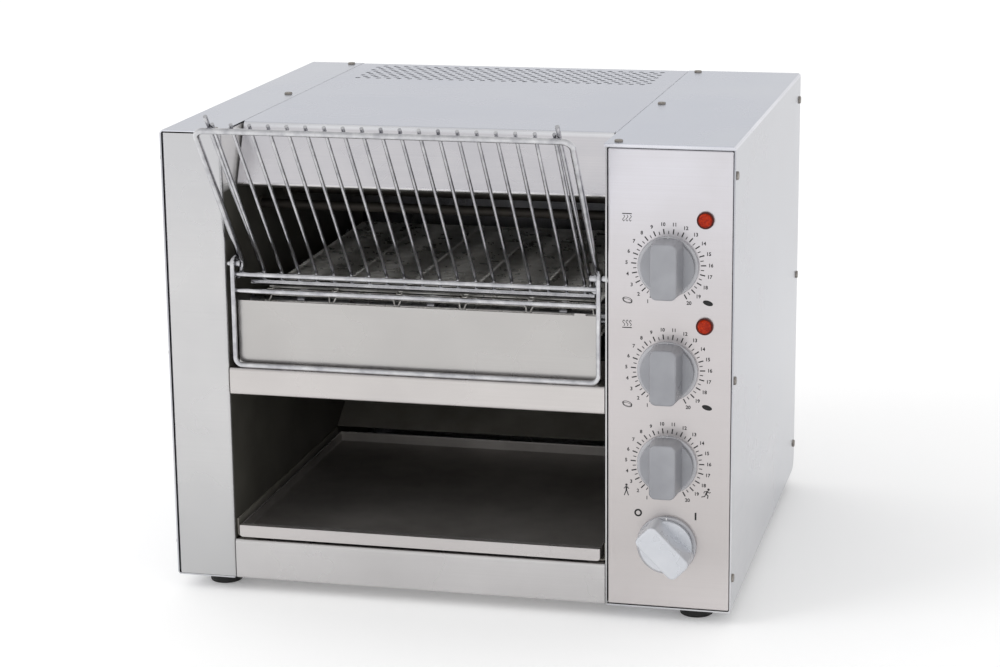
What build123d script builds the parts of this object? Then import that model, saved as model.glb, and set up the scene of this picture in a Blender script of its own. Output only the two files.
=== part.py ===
from build123d import *
from math import asin, atan2, cos, degrees, floor, pi, radians, sin
import os

# Countertop conveyor toaster: a folded stainless cabinet round an open cooking
# chamber, with a wire loading rack in front of a wire belt, a curved chute that
# brings the toast back to a tray at the front, and a control housing at the right.
#
# Everything is drawn in cabinet coordinates, in millimetres: X from the outside
# of the left cover, Y from the front plane towards the back, Z from the underside
# of the sheet metal. save() moves each piece to the machine's own frame, whose
# origin lies on the table below the middle of the whole machine.

os.makedirs("parts", exist_ok=True)

# ---------------------------------------------------------------- cabinet sizes
body_width = 465.0        # outside of the left cover to outside of the right one
body_depth = 400.0        # front plane to rear edge of the covers
body_height = 375.0       # underside of the sheet metal to its top
stile_width = 51.5        # front face left of the opening
housing_width = 101.5     # control housing right of the opening
sheet = 1.2               # stainless sheet
bend = 1.5                # inside radius of a fold
seam = 0.3                # gap between sheets that meet
top_overlap = 0.6         # side covers reach this far over the opening
cover_lip = 3.0           # turned-down front edge of the right cover
rear_corner = 16.0        # rounding of the covers' lower rear corner
stile_top_gap = 2.3       # dark line between the stile and the left cover
past = 1.0                # cutting tools run this far past a face
drill = 6.0               # and holes through a wall reach this far from its face

# Rubber feet
foot_height = 12.0
foot_width = 28.0
foot_inset_x = 32.0
foot_inset_y = 30.0
foot_taper = 3.0          # degrees
foot_edge = 1.2
foot_bore = 14.0          # recess for the screw head
foot_bore_depth = 6.0
foot_screw = 4.0
foot_screw_hole = 4.4
foot_screw_head = 8.0
foot_screw_head_height = 2.6
foot_screw_reach = 3.6    # above the sheet metal's underside

# Inner walls, their top flanges and the rear panel
wall_flange = 15.5
stile_return = 14.0       # flange of the stile along the left cover
rear_flange = 12.0        # depth of the rear panel's rim
rear_inset = 1.2          # rear panel behind the covers' rear edge

# Middle top cover with its hood and its perforated band
hood_top_y = 50.6         # where the flat top folds down into the hood
hood_edge_y = 28.0        # lower front edge of the hood
hood_drop = 49.0          # hood edge below the flat top
hood_side_gap = 2.5       # dark gap between the hood and the inner walls
hood_hem = 8.0            # hood edge folded back underneath
cover_side_flange = 10.0
cover_rear_gap = 3.0
vent_hole = 4.6           # across the flats of a vent hole
vent_pitch_x = 9.7
vent_pitch_y = 8.4
vent_margin = 16.0        # plain border left and right of the vents
vent_rows = 10
vent_setback = 55.5       # middle of the band in front of the rear edge

# Front panel, outlet header and base
ledge_z = 181.0           # top of the outlet header
header_height = 23.0
header_hem = 6.0
header_tab = 18.0         # end tabs that screw to the inner walls
header_lap = 2.0          # header reaches this far behind the front panel's foot
front_panel_y = 7.5       # set back behind the header's front
front_panel_rise = 1.0    # its top above the wire centres of the belt's upper run
front_panel_gap = 6.9     # its ends to the inner walls, where the rack's loop hangs
front_panel_foot = 12.0   # its top edge is plain, so that the rack's foot swings past it
stop_tab_width = 9.0
stop_tab_right = 17.0     # from the right wall
stop_tab_height = 1.6
panel_gap = 0.5           # panels between the inner walls
base_strip_height = 34.3
base_strip_return = 10.0

# Collection tray
tray_rise = 2.2           # tray floor above the base strip
tray_height = 9.9
tray_depth = 285.0
tray_side_gap = 4.25      # tray to inner wall
tray_corner = 2.5
tray_hem = 6.0
runner_width = 14.5
runner_height = 15.0
runner_front = 6.0
slide_gap = 0.3

# Discharge chute behind the belt
chute_setback = 20.0      # its back in front of the covers' rear edge
chute_drop = 16.0         # its top below the shafts
chute_knee_z = 112.0
chute_tray_gap = 3.0      # its lower edge behind the tray
chute_tray_rise = 4.6     # and above the tray's rim
chute_bend = 60.0
chute_sheet = 1.0

# Conveyor
belt_front_y = 64.0       # front shaft
belt_rear_setback = 64.0  # rear, driven shaft in front of the rear edge
belt_axis_z = 221.0
belt_radius = 14.0        # shaft centre to wire centre
belt_wire = 2.0
belt_pitch = 5.6
belt_edge_gap = 14.5      # belt edge to inner wall
band_count = 6            # rows of links that join the wires
band_width = 3.0
band_thickness = 0.8
band_seat = 0.02
shaft_size = 10.0
shaft_overhang = 8.0      # past the chain
wheel_teeth = 16
wheel_width = 6.0
wheel_tooth = 1.5
wheel_gap = 0.3           # tooth tips to the belt wires
tooth_root_share = 0.34   # half width of a tooth at its root, in tooth pitches
tooth_tip_share = 0.14
bush_size = 14.0
bush_flange = 19.0
bush_flange_width = 2.0
bush_length = 9.0
running_fit = 0.05

# Chain drive in the housing
chain_wall_gap = 13.5     # middle plane of the chain to the right wall
motor_forward = 86.0      # motor shaft in front of the driven shaft
motor_drop = 109.0        # and below it
drive_sprocket_radius = 20.0
motor_sprocket_radius = 15.0
drive_teeth = 16
motor_teeth = 12
sprocket_width = 3.0
sprocket_tooth = 3.0
sprocket_hub = 20.0
chain_thickness = 4.0
chain_width = 5.0
chain_gap = 0.4
gearbox_size = 62.0
gearbox_width = 26.0
gearbox_corner = 6.0
gearbox_gap = 5.0         # chain to gearbox
gearbox_cover = 1.2       # wall behind the motor shaft's bore
motor_can = 56.0
motor_length = 42.0
gearbox_post = 8.0
gearbox_post_inset = 7.0

# Heating elements and shields
element_size = 8.0
element_overhang = 10.0   # past each wall
element_bush = 13.0
element_bush_length = 6.0
upper_element_count = 4
upper_element_drop = 75.0     # below the top
upper_element_front = 26.0    # first one behind the front shaft
upper_element_rear = 36.0     # last one in front of the rear shaft
lower_element_count = 3
lower_element_inset = 66.0    # outer ones from the shafts
upper_shield_drop = 55.0
upper_shield_front = 58.0
upper_shield_setback = 28.0
lower_shield_drop = 31.0      # below the shafts
lower_shield_reach = 14.0     # past each shaft
shield_flange = 14.0

# Wire loading rack. Its heights are measured from the pins that it hangs on.
pin_y = 6.5
pin_z = 266.5
pin_size = 5.5
left_pin_reach = 11.0     # from the left wall
right_pin_reach = 13.9    # from the right wall
pin_head = 8.0
pin_head_width = 1.6
pin_round = 1.4
hook_gap = 0.3
hook_straight = 0.1
hook_tail = 3.0
loop_wire = 4.0
loop_left_gap = 5.5       # wire centres to the inner walls
loop_right_gap = 5.5
loop_corner = 6.0
rack_rest_gap = 0.3       # loop above the header ledge
frame_wire = 5.0
frame_left_gap = 7.5
frame_right_gap = 9.5
frame_corner = 8.0
top_bar_reach = 79.0      # in front of the cabinet
top_bar_rise = 122.5
rack_lean = 38.5          # degrees from upright, top forward
frame_run_drop = 10.0     # forward run from the frame to the upper rod
upper_rod_drop = 8.5
lower_rod_drop = 22.0
slope_wire = 3.0
slope_wire_count = 19
slope_left_gap = 22.0
slope_right_gap = 22.7
slope_tip = 3.5
slope_kink_drop = 10.5
slope_end_drop = 20.7
slope_kink_bend = 5.0
foot_rod = 5.0
foot_rod_drop = 19.3
foot_rod_left_gap = 12.5
foot_rod_right_gap = 13.5
guide_wire = 3.5
guide_offset = 3.5        # sideways from the outer slope wires
guide_tip = 12.0
guide_low_y = 40.5
guide_low_drop = 13.5
guide_bend = 3.0
weld_seat = 0.03          # welded wires lie this close

# Controls
control_inset = 51.5      # knob axes to the right side
top_heat_z = 280.5
bottom_heat_z = 196.8
speed_z = 120.8
power_z = 54.5
lamp_inset = 22.8
lamp_rise = 37.1          # lamp above its heat knob
control_gap = 2.2         # groove round the control panel
control_flange = 14.0
panel_edge = 1.5
bezel_size = 48.0
bezel_height = 3.5
bezel_edge = 1.2
bezel_bore = 13.0
knob_gap = 0.5
knob_reach = 25.0         # knob front to panel
grip_length = 45.0
grip_width = 26.0
grip_corner = 7.0
grip_front_length = 44.0
grip_front_width = 20.5
grip_front_corner = 5.0
grip_round = 1.5
knob_base = 3.0
knob_base_size = 42.0
spindle_size = 6.0
spindle_flat = 1.5
spindle_fit = 0.05
neck_size = 9.6           # threaded neck through the panel
neck_reach = 2.5
neck_hole = 10.2
spindle_depth = 14.0      # spindle inside its regulator
knob_bore_depth = 13.0
power_rest_angle = 45.0   # the power grip points up left at O
regulator_width = 38.0
regulator_height = 30.0
regulator_depth = 24.0
regulator_corner = 3.0
switch_size = 42.0
switch_depth = 34.0
speed_pot = 24.0
speed_pot_depth = 16.0
board_width = 70.0
board_height = 54.0
board_thickness = 1.6
lamp_lens = 10.8
lamp_dome = 3.2
lamp_rim = 13.5
lamp_rim_height = 1.8
lamp_barrel = 9.6
lamp_hole = 10.0
lamp_depth = 22.0

# Rear of the housing
fan_size = 80.0
fan_depth = 25.0
fan_corner = 5.0
fan_inset = 51.0          # fan axis to the right side
fan_z = 210.0
fan_throat = 75.0
fan_hub = 30.0
fan_hub_wall = 1.2
fan_blades = 7
fan_tip_gap = 1.7
fan_blade_width = 2.0
fan_blade_pitch = 32.0    # degrees
fan_blade_inset = 1.0     # blade edges behind the hub's faces
fan_blade_root = 2.5      # blade sunk in the hub
fan_pin = 4.0
fan_pin_inset = 4.0
fan_rotor_inset = 2.0
fan_strut = 4.0
fan_strut_depth = 4.0
fan_strut_gap = 1.2       # rotor to struts
slot_height = 4.0
slot_pitch = 9.0
slot_count = 8
slot_width = 62.0
gland_inset = 39.0
gland_z = 42.0
gland_body = 16.0
gland_bore = 8.0
gland_nut = 24.0
gland_nut_width = 6.0
gland_reach = 15.0
terminal_length = 60.0
terminal_height = 18.0
terminal_width = 20.0
terminal_setback = 110.0
terminal_z = 24.0
terminal_ways = 5
terminal_rib = 2.4

# Screws
screw_size = 3.0
screw_hole = 3.4
screw_head = 6.8
screw_head_height = 1.6
screw_head_round = 1.0
screw_length = 6.0
screw_drill = 18.0        # depth of the screw holes from the outside
slot_cut = 0.8
side_screw_front = 6.0    # from the front plane
side_screw_bottom = 28.0
side_screw_top = 23.0     # from the top
top_screw_front = 10.3
screw_rear = 9.0          # from the covers' rear edge
top_screw_inset = 8.8     # from the inner wall's face

# ---------------------------------------------------------------- derived places
left_wall = stile_width                       # face of the left inner wall
right_wall = body_width - housing_width       # face of the right inner wall
wall_back = body_depth - rear_inset - rear_flange - seam
rear_face = body_depth - rear_inset           # outside of the rear panel
rear_inside = rear_face - sheet
cover_inside = body_height - sheet
panel_left = left_wall + panel_gap
panel_right = right_wall - panel_gap
tray_left = left_wall + tray_side_gap
tray_right = right_wall - tray_side_gap
tray_bottom = base_strip_height + tray_rise
tray_top = tray_bottom + tray_height
control_left = right_wall + control_gap
control_right = body_width - sheet - seam
control_bottom = sheet + seam
control_top = body_height - cover_lip - seam
control_x = body_width - control_inset
lamp_x = body_width - lamp_inset
hood_edge_z = body_height - hood_drop
belt_rear_y = body_depth - belt_rear_setback
front_panel_top = belt_axis_z + belt_radius + front_panel_rise
chute_back_y = body_depth - chute_setback
chute_end_y = tray_depth + chute_tray_gap
upper_element_z = body_height - upper_element_drop
chain_x = right_wall + chain_wall_gap
motor_y = belt_rear_y - motor_forward
motor_z = belt_axis_z - motor_drop
fan_x = body_width - fan_inset
gland_x = body_width - gland_inset

lean = radians(rack_lean)
slope = (sin(lean), -cos(lean))               # (Y, Z) down the rack
bread_side = (cos(lean), sin(lean))           # (Y, Z) out of the rack towards the hood
hook_radius = (pin_size + loop_wire) / 2 + hook_gap
loop_y = pin_y - hook_radius
loop_z = ledge_z + loop_wire / 2 + rack_rest_gap
loop_left_x = left_wall + loop_left_gap
loop_right_x = right_wall - loop_right_gap
top_bar_y = -top_bar_reach
top_bar_z = pin_z + top_bar_rise
guide_low_z = pin_z - guide_low_drop


def raised(offset):
    """Point over the top bar, a distance off the frame's plane on the bread side."""
    return (top_bar_y + bread_side[0] * offset, top_bar_z + bread_side[1] * offset)


guide_start = raised((frame_wire + guide_wire) / 2 + weld_seat)
guide_angle = atan2(guide_start[1] - guide_low_z, guide_low_y - guide_start[0])
guide_tip_y = guide_start[0] - guide_tip * cos(guide_angle)
guide_tip_z = guide_start[1] + guide_tip * sin(guide_angle)
rack_front = guide_tip_y - guide_wire / 2 * sin(guide_angle)
machine_back = body_depth - rear_inset + gland_reach

frame_shift = Pos(-body_width / 2, -(rack_front + machine_back) / 2, foot_height)


# ---------------------------------------------------------------- helpers
def save(name, *shapes):
    """Write one node, moved from cabinet coordinates to the machine's frame."""
    solids = [solid for shape in shapes for solid in (frame_shift * shape).solids()]
    export_step(solids[0] if len(solids) == 1 else Compound(solids), f"parts/{name}.step")


def block(x0, x1, y0, y1, z0, z1):
    return Pos((x0 + x1) / 2, (y0 + y1) / 2, (z0 + z1) / 2) * Box(x1 - x0, y1 - y0, z1 - z0)


def rod_x(x0, x1, y, z, diameter):
    return Pos((x0 + x1) / 2, y, z) * Rot(0, 90, 0) * Cylinder(diameter / 2, x1 - x0)


def rod_y(x, y0, y1, z, diameter):
    return Pos(x, (y0 + y1) / 2, z) * Rot(90, 0, 0) * Cylinder(diameter / 2, y1 - y0)


def rod_z(x, y, z0, z1, diameter):
    return Pos(x, y, (z0 + z1) / 2) * Cylinder(diameter / 2, z1 - z0)


def along_x(section, x0, x1):
    """Extrude a section drawn as (Y, Z)."""
    return extrude(Plane.YZ.offset(x0) * section, amount=x1 - x0, dir=(1, 0, 0))


def along_y(section, y0, y1):
    """Extrude a section drawn as (X, Z)."""
    front = Plane(origin=(0, y0, 0), x_dir=(1, 0, 0), z_dir=(0, -1, 0))
    return extrude(front * section, amount=y1 - y0, dir=(0, 1, 0))


def along_z(section, z0, z1):
    """Extrude a section drawn as (X, Y)."""
    return extrude(Plane.XY.offset(z0) * section, amount=z1 - z0, dir=(0, 0, 1))


def spread(first, last, count):
    """Evenly spaced values from the first to the last."""
    return [first + (last - first) * i / (count - 1) for i in range(count)]


def sheet_section(points, side, thickness=sheet, inner=bend):
    """Section of a folded sheet. One face follows the points, and the metal lies
    to the left of them (side 1) or to the right (side -1)."""
    path = [Vector(*point) for point in points]
    runs = [(after - before).normalized() for before, after in zip(path, path[1:])]
    normals = [Vector(-run.Y, run.X) * side for run in runs]
    back = [path[0] + normals[0] * thickness]
    path_radii = []
    back_radii = []
    for i in range(1, len(path) - 1):
        mitre = thickness / (1 + normals[i - 1].dot(normals[i]))
        back.append(path[i] + (normals[i - 1] + normals[i]) * mitre)
        turn = runs[i - 1].X * runs[i].Y - runs[i - 1].Y * runs[i].X
        folds_in = turn * side > 0
        path_radii.append(inner + thickness if folds_in else inner)
        back_radii.append(inner if folds_in else inner + thickness)
    back.append(path[-1] + normals[-1] * thickness)
    radii = [0] + path_radii + [0, 0] + back_radii[::-1] + [0]
    return make_face(FilletPolyline(*path, *back[::-1], radius=radii, close=True))


def wire_form(points, diameter, radii):
    """Round wire along straight runs joined by bends."""
    if len(points) == 2:
        path = Line(*points)
    else:
        path = FilletPolyline(*points, radius=radii)
    return sweep(Plane(origin=path @ 0, z_dir=path % 0) * Circle(diameter / 2), path=path)


def toothed_disc(teeth, tip_radius, tooth, width):
    """Sprocket blank with trapezoid teeth, drawn flat and centred on the origin."""
    step = 2 * pi / teeth
    outline = []
    for i in range(teeth):
        for share, radius in ((-tooth_root_share, tip_radius - tooth),
                              (-tooth_tip_share, tip_radius), (tooth_tip_share, tip_radius),
                              (tooth_root_share, tip_radius - tooth)):
            angle = (i + share) * step
            outline.append((radius * cos(angle), radius * sin(angle)))
    return extrude(make_face(Polyline(*outline, close=True)), amount=width / 2, both=True)


def across_x(shape, x, y, z):
    """Stand a part drawn round Z on an axis along X."""
    return Pos(x, y, z) * Rot(0, 90, 0) * shape


# ---------------------------------------------------------------- screws
screw_rear_y = body_depth - screw_rear
side_screw_heights = spread(side_screw_bottom, body_height - side_screw_top, 3)
side_screw_places = [(y, z) for y in (side_screw_front, screw_rear_y)
                     for z in side_screw_heights]
top_screw_xs = (left_wall - top_screw_inset, right_wall + top_screw_inset)
top_screw_ys = spread(top_screw_front, screw_rear_y, 3)
side_screw_tools = [rod_x(-past, body_width + past, y, z, screw_hole)
                    for y, z in side_screw_places]
top_screw_tools = [rod_z(x, y, body_height - screw_drill, body_height + past, screw_hole)
                   for x in top_screw_xs for y in top_screw_ys]


def pan_screw():
    """Slotted pan-head screw, head up, its seat at Z 0."""
    head = Cylinder(screw_head / 2, screw_head_height, align=(Align.CENTER, Align.CENTER, Align.MIN))
    head = fillet(head.edges().sort_by(Axis.Z)[-1:], screw_head_round)
    head -= Pos(0, 0, screw_head_height) * Box(screw_head + past, slot_cut, screw_head_height)
    return head + Cylinder(screw_size / 2, screw_length, align=(Align.CENTER, Align.CENTER, Align.MAX))


one_screw = pan_screw()
save("side_screws", *[Pos(x, y, z) * Rot(0, turn, 0) * one_screw
                      for x, turn in ((0, -90), (body_width, 90))
                      for y, z in side_screw_places])
save("top_screws", *[Pos(x, y, body_height) * one_screw
                     for x in top_screw_xs for y in top_screw_ys])

# ---------------------------------------------------------------- feet
foot_places = [(x, y) for x in (foot_inset_x, body_width - foot_inset_x)
               for y in (foot_inset_y, body_depth - foot_inset_y)]


def rubber_foot():
    """Tapered round foot with a recess for its screw, top at Z 0."""
    foot = extrude(Circle(foot_width / 2), amount=-foot_height, taper=foot_taper)
    foot = fillet(foot.edges().sort_by(Axis.Z)[:1], foot_edge)
    foot -= rod_z(0, 0, -foot_height - past, foot_bore_depth - foot_height, foot_bore)
    return foot - rod_z(0, 0, -foot_height, past, foot_screw + 2 * running_fit)


def foot_screw_piece():
    """Pan-head screw up through the foot and the cover's bottom."""
    head_z = foot_bore_depth - foot_height
    head = rod_z(0, 0, head_z - foot_screw_head_height, head_z, foot_screw_head)
    return head + rod_z(0, 0, head_z, foot_screw_reach, foot_screw)


save("rubber_feet", *[Pos(x, y, 0) * rubber_foot() for x, y in foot_places])
save("foot_screws", *[Pos(x, y, 0) * foot_screw_piece() for x, y in foot_places])
foot_screw_tools = [rod_z(x, y, -past, sheet + past, foot_screw_hole) for x, y in foot_places]


# ---------------------------------------------------------------- side covers
def rear_corner_tool(x0, x1, radius):
    """Material outside the rounded lower rear corner, between two X."""
    middle_y = body_depth - rear_corner
    corner = block(x0, x1, middle_y, body_depth + past, -past, rear_corner)
    return corner - rod_x(x0 - past, x1 + past, middle_y, rear_corner, 2 * radius)


def side_cover(outer_x, top_x, bottom_x, side):
    """Top, side and bottom folded from one sheet, open at the front and back."""
    section = sheet_section([(bottom_x, 0), (outer_x, 0), (outer_x, body_height),
                             (top_x, body_height)], side)
    cover = along_y(section, 0, body_depth)
    corner = rear_corner_tool(min(outer_x, bottom_x) - past, max(outer_x, bottom_x) + past,
                              rear_corner)
    return cover - corner - side_screw_tools - top_screw_tools - foot_screw_tools


left_cover = side_cover(0, left_wall + top_overlap, left_wall - sheet - seam, -1)
right_cover = side_cover(body_width, right_wall - top_overlap, right_wall + sheet + seam, 1)
lip = block(right_wall - top_overlap, body_width - sheet, 0, sheet,
            body_height - cover_lip, body_height - sheet)
save("left_side_cover", left_cover)
save("right_side_cover", right_cover + lip)

# ---------------------------------------------------------------- middle top cover
flat_left = left_wall + top_overlap + seam
flat_right = right_wall - top_overlap - seam
cover_back = body_depth - cover_rear_gap
hood_left = left_wall + hood_side_gap
hood_right = right_wall - hood_side_gap

hood_section = sheet_section([(hood_edge_y + hood_hem, hood_edge_z), (hood_edge_y, hood_edge_z),
                              (hood_top_y, body_height), (hood_top_y + hood_hem, body_height)], -1)
hood = along_x(hood_section, hood_left, hood_right)

flat_front = hood_top_y + hood_hem / 2
vent_sketch = Rectangle(flat_right - flat_left, cover_back - flat_front)
vent_sketch = Pos((flat_left + flat_right) / 2, (cover_back + flat_front) / 2) * vent_sketch
vent_columns = floor((flat_right - flat_left - 2 * vent_margin) / vent_pitch_x - 0.5)
vent_first_x = (left_wall + right_wall) / 2 - vent_pitch_x * (vent_columns - 0.5) / 2
vent_first_y = body_depth - vent_setback - vent_pitch_y * (vent_rows - 1) / 2
vents = [Pos(vent_first_x + (column + (row % 2) / 2) * vent_pitch_x,
             vent_first_y + row * vent_pitch_y)
         * RegularPolygon(vent_hole / 2, 6, major_radius=False)
         for row in range(vent_rows) for column in range(vent_columns)]
flat = along_z(vent_sketch - vents, cover_inside, body_height)
flange_front = hood_top_y + hood_hem
side_flanges = [block(x, x + sheet, flange_front, wall_back,
                      cover_inside - cover_side_flange, cover_inside)
                for x in (flat_left, flat_right - sheet)]
rear_edge = block(flat_left, flat_right, cover_back - sheet, cover_back,
                  cover_inside - sheet, cover_inside)
save("top_cover", hood + flat + side_flanges + rear_edge)

# ---------------------------------------------------------------- inner walls
belt_shaft_ys = (belt_front_y, belt_rear_y)
upper_element_places = [(y, upper_element_z)
                        for y in spread(belt_front_y + upper_element_front,
                                        belt_rear_y - upper_element_rear, upper_element_count)]
lower_element_places = [(y, belt_axis_z)
                        for y in spread(belt_front_y + lower_element_inset,
                                        belt_rear_y - lower_element_inset, lower_element_count)]
element_places = upper_element_places + lower_element_places


def wall_tools(x0, x1):
    """Holes for the shaft bushes, the element bushes and the rack pin."""
    tools = [rod_x(x0, x1, y, belt_axis_z, bush_size) for y in belt_shaft_ys]
    tools += [rod_x(x0, x1, y, z, element_bush) for y, z in element_places]
    tools.append(rod_x(x0, x1, pin_y, pin_z, pin_size))
    return tools


wall_foot = sheet + seam
flange_z = cover_inside - seam - sheet
stile_relief = 3 * sheet
right_flange_front = 2 * sheet
stile_section = sheet_section([(sheet + seam, stile_return), (sheet + seam, 0),
                               (left_wall, 0), (left_wall, wall_back)], 1)
left_panel = along_z(stile_section, wall_foot, body_height - stile_top_gap)
left_panel += block(left_wall - wall_flange, left_wall, stile_return, cover_back,
                    flange_z, flange_z + sheet)
left_panel += block(left_wall - wall_flange, left_wall - sheet, stile_relief, stile_return,
                    flange_z, flange_z + sheet)
left_panel -= wall_tools(left_wall - drill, left_wall + drill)
left_panel -= block(0, sheet + bend, -past, stile_return + past, 0, sheet + bend)
save("left_inner_panel", left_panel - side_screw_tools - top_screw_tools)

right_section = sheet_section([(right_wall, sheet + seam), (right_wall, wall_back)], -1)
right_panel = along_z(right_section, wall_foot, flange_z + sheet)
right_panel += block(right_wall, right_wall + wall_flange, right_flange_front, cover_back,
                     flange_z, flange_z + sheet)
right_panel -= wall_tools(right_wall - drill, right_wall + drill)
right_panel -= top_screw_tools
save("right_inner_panel", right_panel)


# ---------------------------------------------------------------- pans
def pan(x0, x1, y0, y1, z0, z1, face_first):
    """Shallow folded pan standing upright, open at the back (face_first) or front."""
    outer = block(x0, x1, y0, y1, z0, z1)
    outer = fillet(outer.edges().filter_by(Axis.Y), bend)
    face = outer.faces().sort_by(Axis.Y)[0 if face_first else -1]
    outer = fillet(face.edges(), panel_edge)
    inner_y0 = y0 + sheet if face_first else y0 - past
    inner_y1 = y1 + past if face_first else y1 - sheet
    return outer - block(x0 + sheet, x1 - sheet, inner_y0, inner_y1, z0 + sheet, z1 - sheet)


knob_places = {"top_heat": top_heat_z, "bottom_heat": bottom_heat_z,
               "speed": speed_z, "power": power_z}
lamp_heights = (top_heat_z + lamp_rise, bottom_heat_z + lamp_rise)

control_panel = pan(control_left, control_right, 0, control_flange,
                    control_bottom, control_top, True)
control_panel -= [rod_y(control_x, -past, drill, z, neck_hole) for z in knob_places.values()]
control_panel -= [rod_y(lamp_x, -past, drill, z, lamp_hole) for z in lamp_heights]
control_panel -= rod_x(control_left - past, control_left + drill, pin_y, pin_z,
                       pin_head + 2 * seam)
save("control_panel", control_panel - side_screw_tools - top_screw_tools)

rear_panel = pan(sheet + seam, body_width - sheet - seam, rear_face - rear_flange, rear_face,
                 sheet + seam, flange_z - seam, False)
slot_first_z = fan_z - slot_pitch * (slot_count - 1) / 2
slot_face = along_y(SlotOverall(slot_width, slot_height), rear_inside - past, rear_face + past)
rear_panel -= [Pos(fan_x, 0, slot_first_z + i * slot_pitch) * slot_face
               for i in range(slot_count)]
rear_panel -= rod_y(gland_x, rear_inside - past, rear_face + past, gland_z, gland_body)
rear_panel -= [rear_corner_tool(x0, x1, rear_corner - sheet)
               for x0, x1 in ((-past, drill), (body_width - drill, body_width + past))]
save("rear_panel", rear_panel - side_screw_tools - top_screw_tools)

# ---------------------------------------------------------------- front pieces and base
header_depth = front_panel_y + front_panel_foot + header_lap
header_section = sheet_section([(header_hem, ledge_z - header_height), (0, ledge_z - header_height),
                                (0, ledge_z), (header_depth, ledge_z)], -1)
header = along_x(header_section, panel_left, panel_right)
tab_z0 = ledge_z - header_height + bend + sheet
tab_z1 = ledge_z - sheet
header += [block(x, x + sheet, sheet, header_tab, tab_z0, tab_z1)
           for x in (panel_left, panel_right - sheet)]
save("outlet_header", header)

panel_section = sheet_section([(front_panel_y, front_panel_top), (front_panel_y, ledge_z),
                               (front_panel_y + front_panel_foot, ledge_z)], 1)
front_panel = along_x(panel_section, left_wall + front_panel_gap, right_wall - front_panel_gap)
tab_right = right_wall - stop_tab_right
front_panel += block(tab_right - stop_tab_width, tab_right, front_panel_y, front_panel_y + sheet,
                     front_panel_top - sheet / 2, front_panel_top + stop_tab_height)
save("front_panel", front_panel)

base_section = sheet_section([(rear_face, 0), (0, 0), (0, base_strip_height),
                              (base_strip_return, base_strip_height)], -1)
save("base_pan", along_x(base_section, left_wall + seam, right_wall - seam))


# ---------------------------------------------------------------- tray and runners
def tray_section(inset, top):
    """Cross-section of the tray with its lower corners rounded."""
    x0 = tray_left + inset
    x1 = tray_right - inset
    z0 = tray_bottom + inset
    corner = tray_corner - inset
    outline = FilletPolyline((x0, top), (x0, z0), (x1, z0), (x1, top),
                             radius=[0, corner, corner, 0], close=True)
    return make_face(outline)


tray = along_y(tray_section(0, tray_top), 0, tray_depth)
tray -= along_y(tray_section(sheet, tray_top + past), sheet, tray_depth - sheet)
tray += block(tray_left + sheet / 2, tray_right - sheet / 2, sheet / 2, tray_hem,
              tray_top - sheet, tray_top)
save("collection_tray", tray)


def runner(wall, inward):
    """Angle strip that carries one side of the tray."""
    face = wall + inward * seam
    section = sheet_section([(face, tray_bottom - slide_gap + runner_height - sheet),
                             (face, tray_bottom - slide_gap - sheet),
                             (face + inward * runner_width, tray_bottom - slide_gap - sheet)],
                            inward)
    return along_y(section, runner_front, tray_depth)


save("tray_runners", runner(left_wall, 1), runner(right_wall, -1))

# ---------------------------------------------------------------- chute and heat shields
chute_section = sheet_section([(chute_back_y, belt_axis_z - chute_drop),
                               (chute_back_y, chute_knee_z),
                               (chute_end_y, tray_top + chute_tray_rise)],
                              1, chute_sheet, chute_bend)
save("discharge_chute", along_x(chute_section, panel_left, panel_right))


def shield(z, front, back, flange):
    """Reflector sheet between the inner walls, its edges folded up or down."""
    section = sheet_section([(panel_left, z + flange), (panel_left, z), (panel_right, z),
                             (panel_right, z + flange)], 1 if flange > 0 else -1)
    return along_y(section, front, back)


save("upper_heat_shield", shield(body_height - upper_shield_drop, upper_shield_front,
                                 body_depth - upper_shield_setback, shield_flange))
save("lower_heat_shield", shield(belt_axis_z - lower_shield_drop,
                                 belt_front_y - lower_shield_reach,
                                 belt_rear_y + lower_shield_reach, -shield_flange))

# ---------------------------------------------------------------- heating elements
element_left = left_wall - sheet - element_overhang
element_right = right_wall + sheet + element_overhang


def elements(places):
    return [rod_x(element_left, element_right, y, z, element_size) for y, z in places]


save("upper_heating_elements", *elements(upper_element_places))
save("lower_heating_elements", *elements(lower_element_places))
ceramics = []
for y, z in element_places:
    for x in (left_wall - sheet / 2, right_wall + sheet / 2):
        tube = rod_x(x - element_bush_length / 2, x + element_bush_length / 2, y, z, element_bush)
        ceramics.append(tube - rod_x(element_left, element_right, y, z, element_size))
save("element_bushes", *ceramics)

# ---------------------------------------------------------------- belt
belt_left = left_wall + belt_edge_gap
belt_right = right_wall - belt_edge_gap
belt_span = belt_rear_y - belt_front_y
belt_length = 2 * belt_span + 2 * pi * belt_radius
belt_wires = floor(belt_length / belt_pitch)


def belt_place(distance):
    """Place and turn of a cross wire, by its distance round the belt."""
    half_turn = pi * belt_radius
    if distance < belt_span:
        return (belt_front_y + distance, belt_axis_z + belt_radius, 0.0)
    distance -= belt_span
    if distance < half_turn:
        angle = distance / belt_radius
        return (belt_rear_y + belt_radius * sin(angle),
                belt_axis_z + belt_radius * cos(angle), angle)
    distance -= half_turn
    if distance < belt_span:
        return (belt_rear_y - distance, belt_axis_z - belt_radius, pi)
    angle = pi + (distance - belt_span) / belt_radius
    return (belt_front_y + belt_radius * sin(angle),
            belt_axis_z + belt_radius * cos(angle), angle)


cross_wires = []
one_cross_wire = Box(belt_right - belt_left, belt_wire, belt_wire)
for i in range(belt_wires):
    wire_y, wire_z, wire_turn = belt_place(i * belt_length / belt_wires)
    cross_wires.append(Pos((belt_left + belt_right) / 2, wire_y, wire_z)
                       * Rot(-degrees(wire_turn), 0, 0) * one_cross_wire)
save("wire_belt", *cross_wires)

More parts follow.
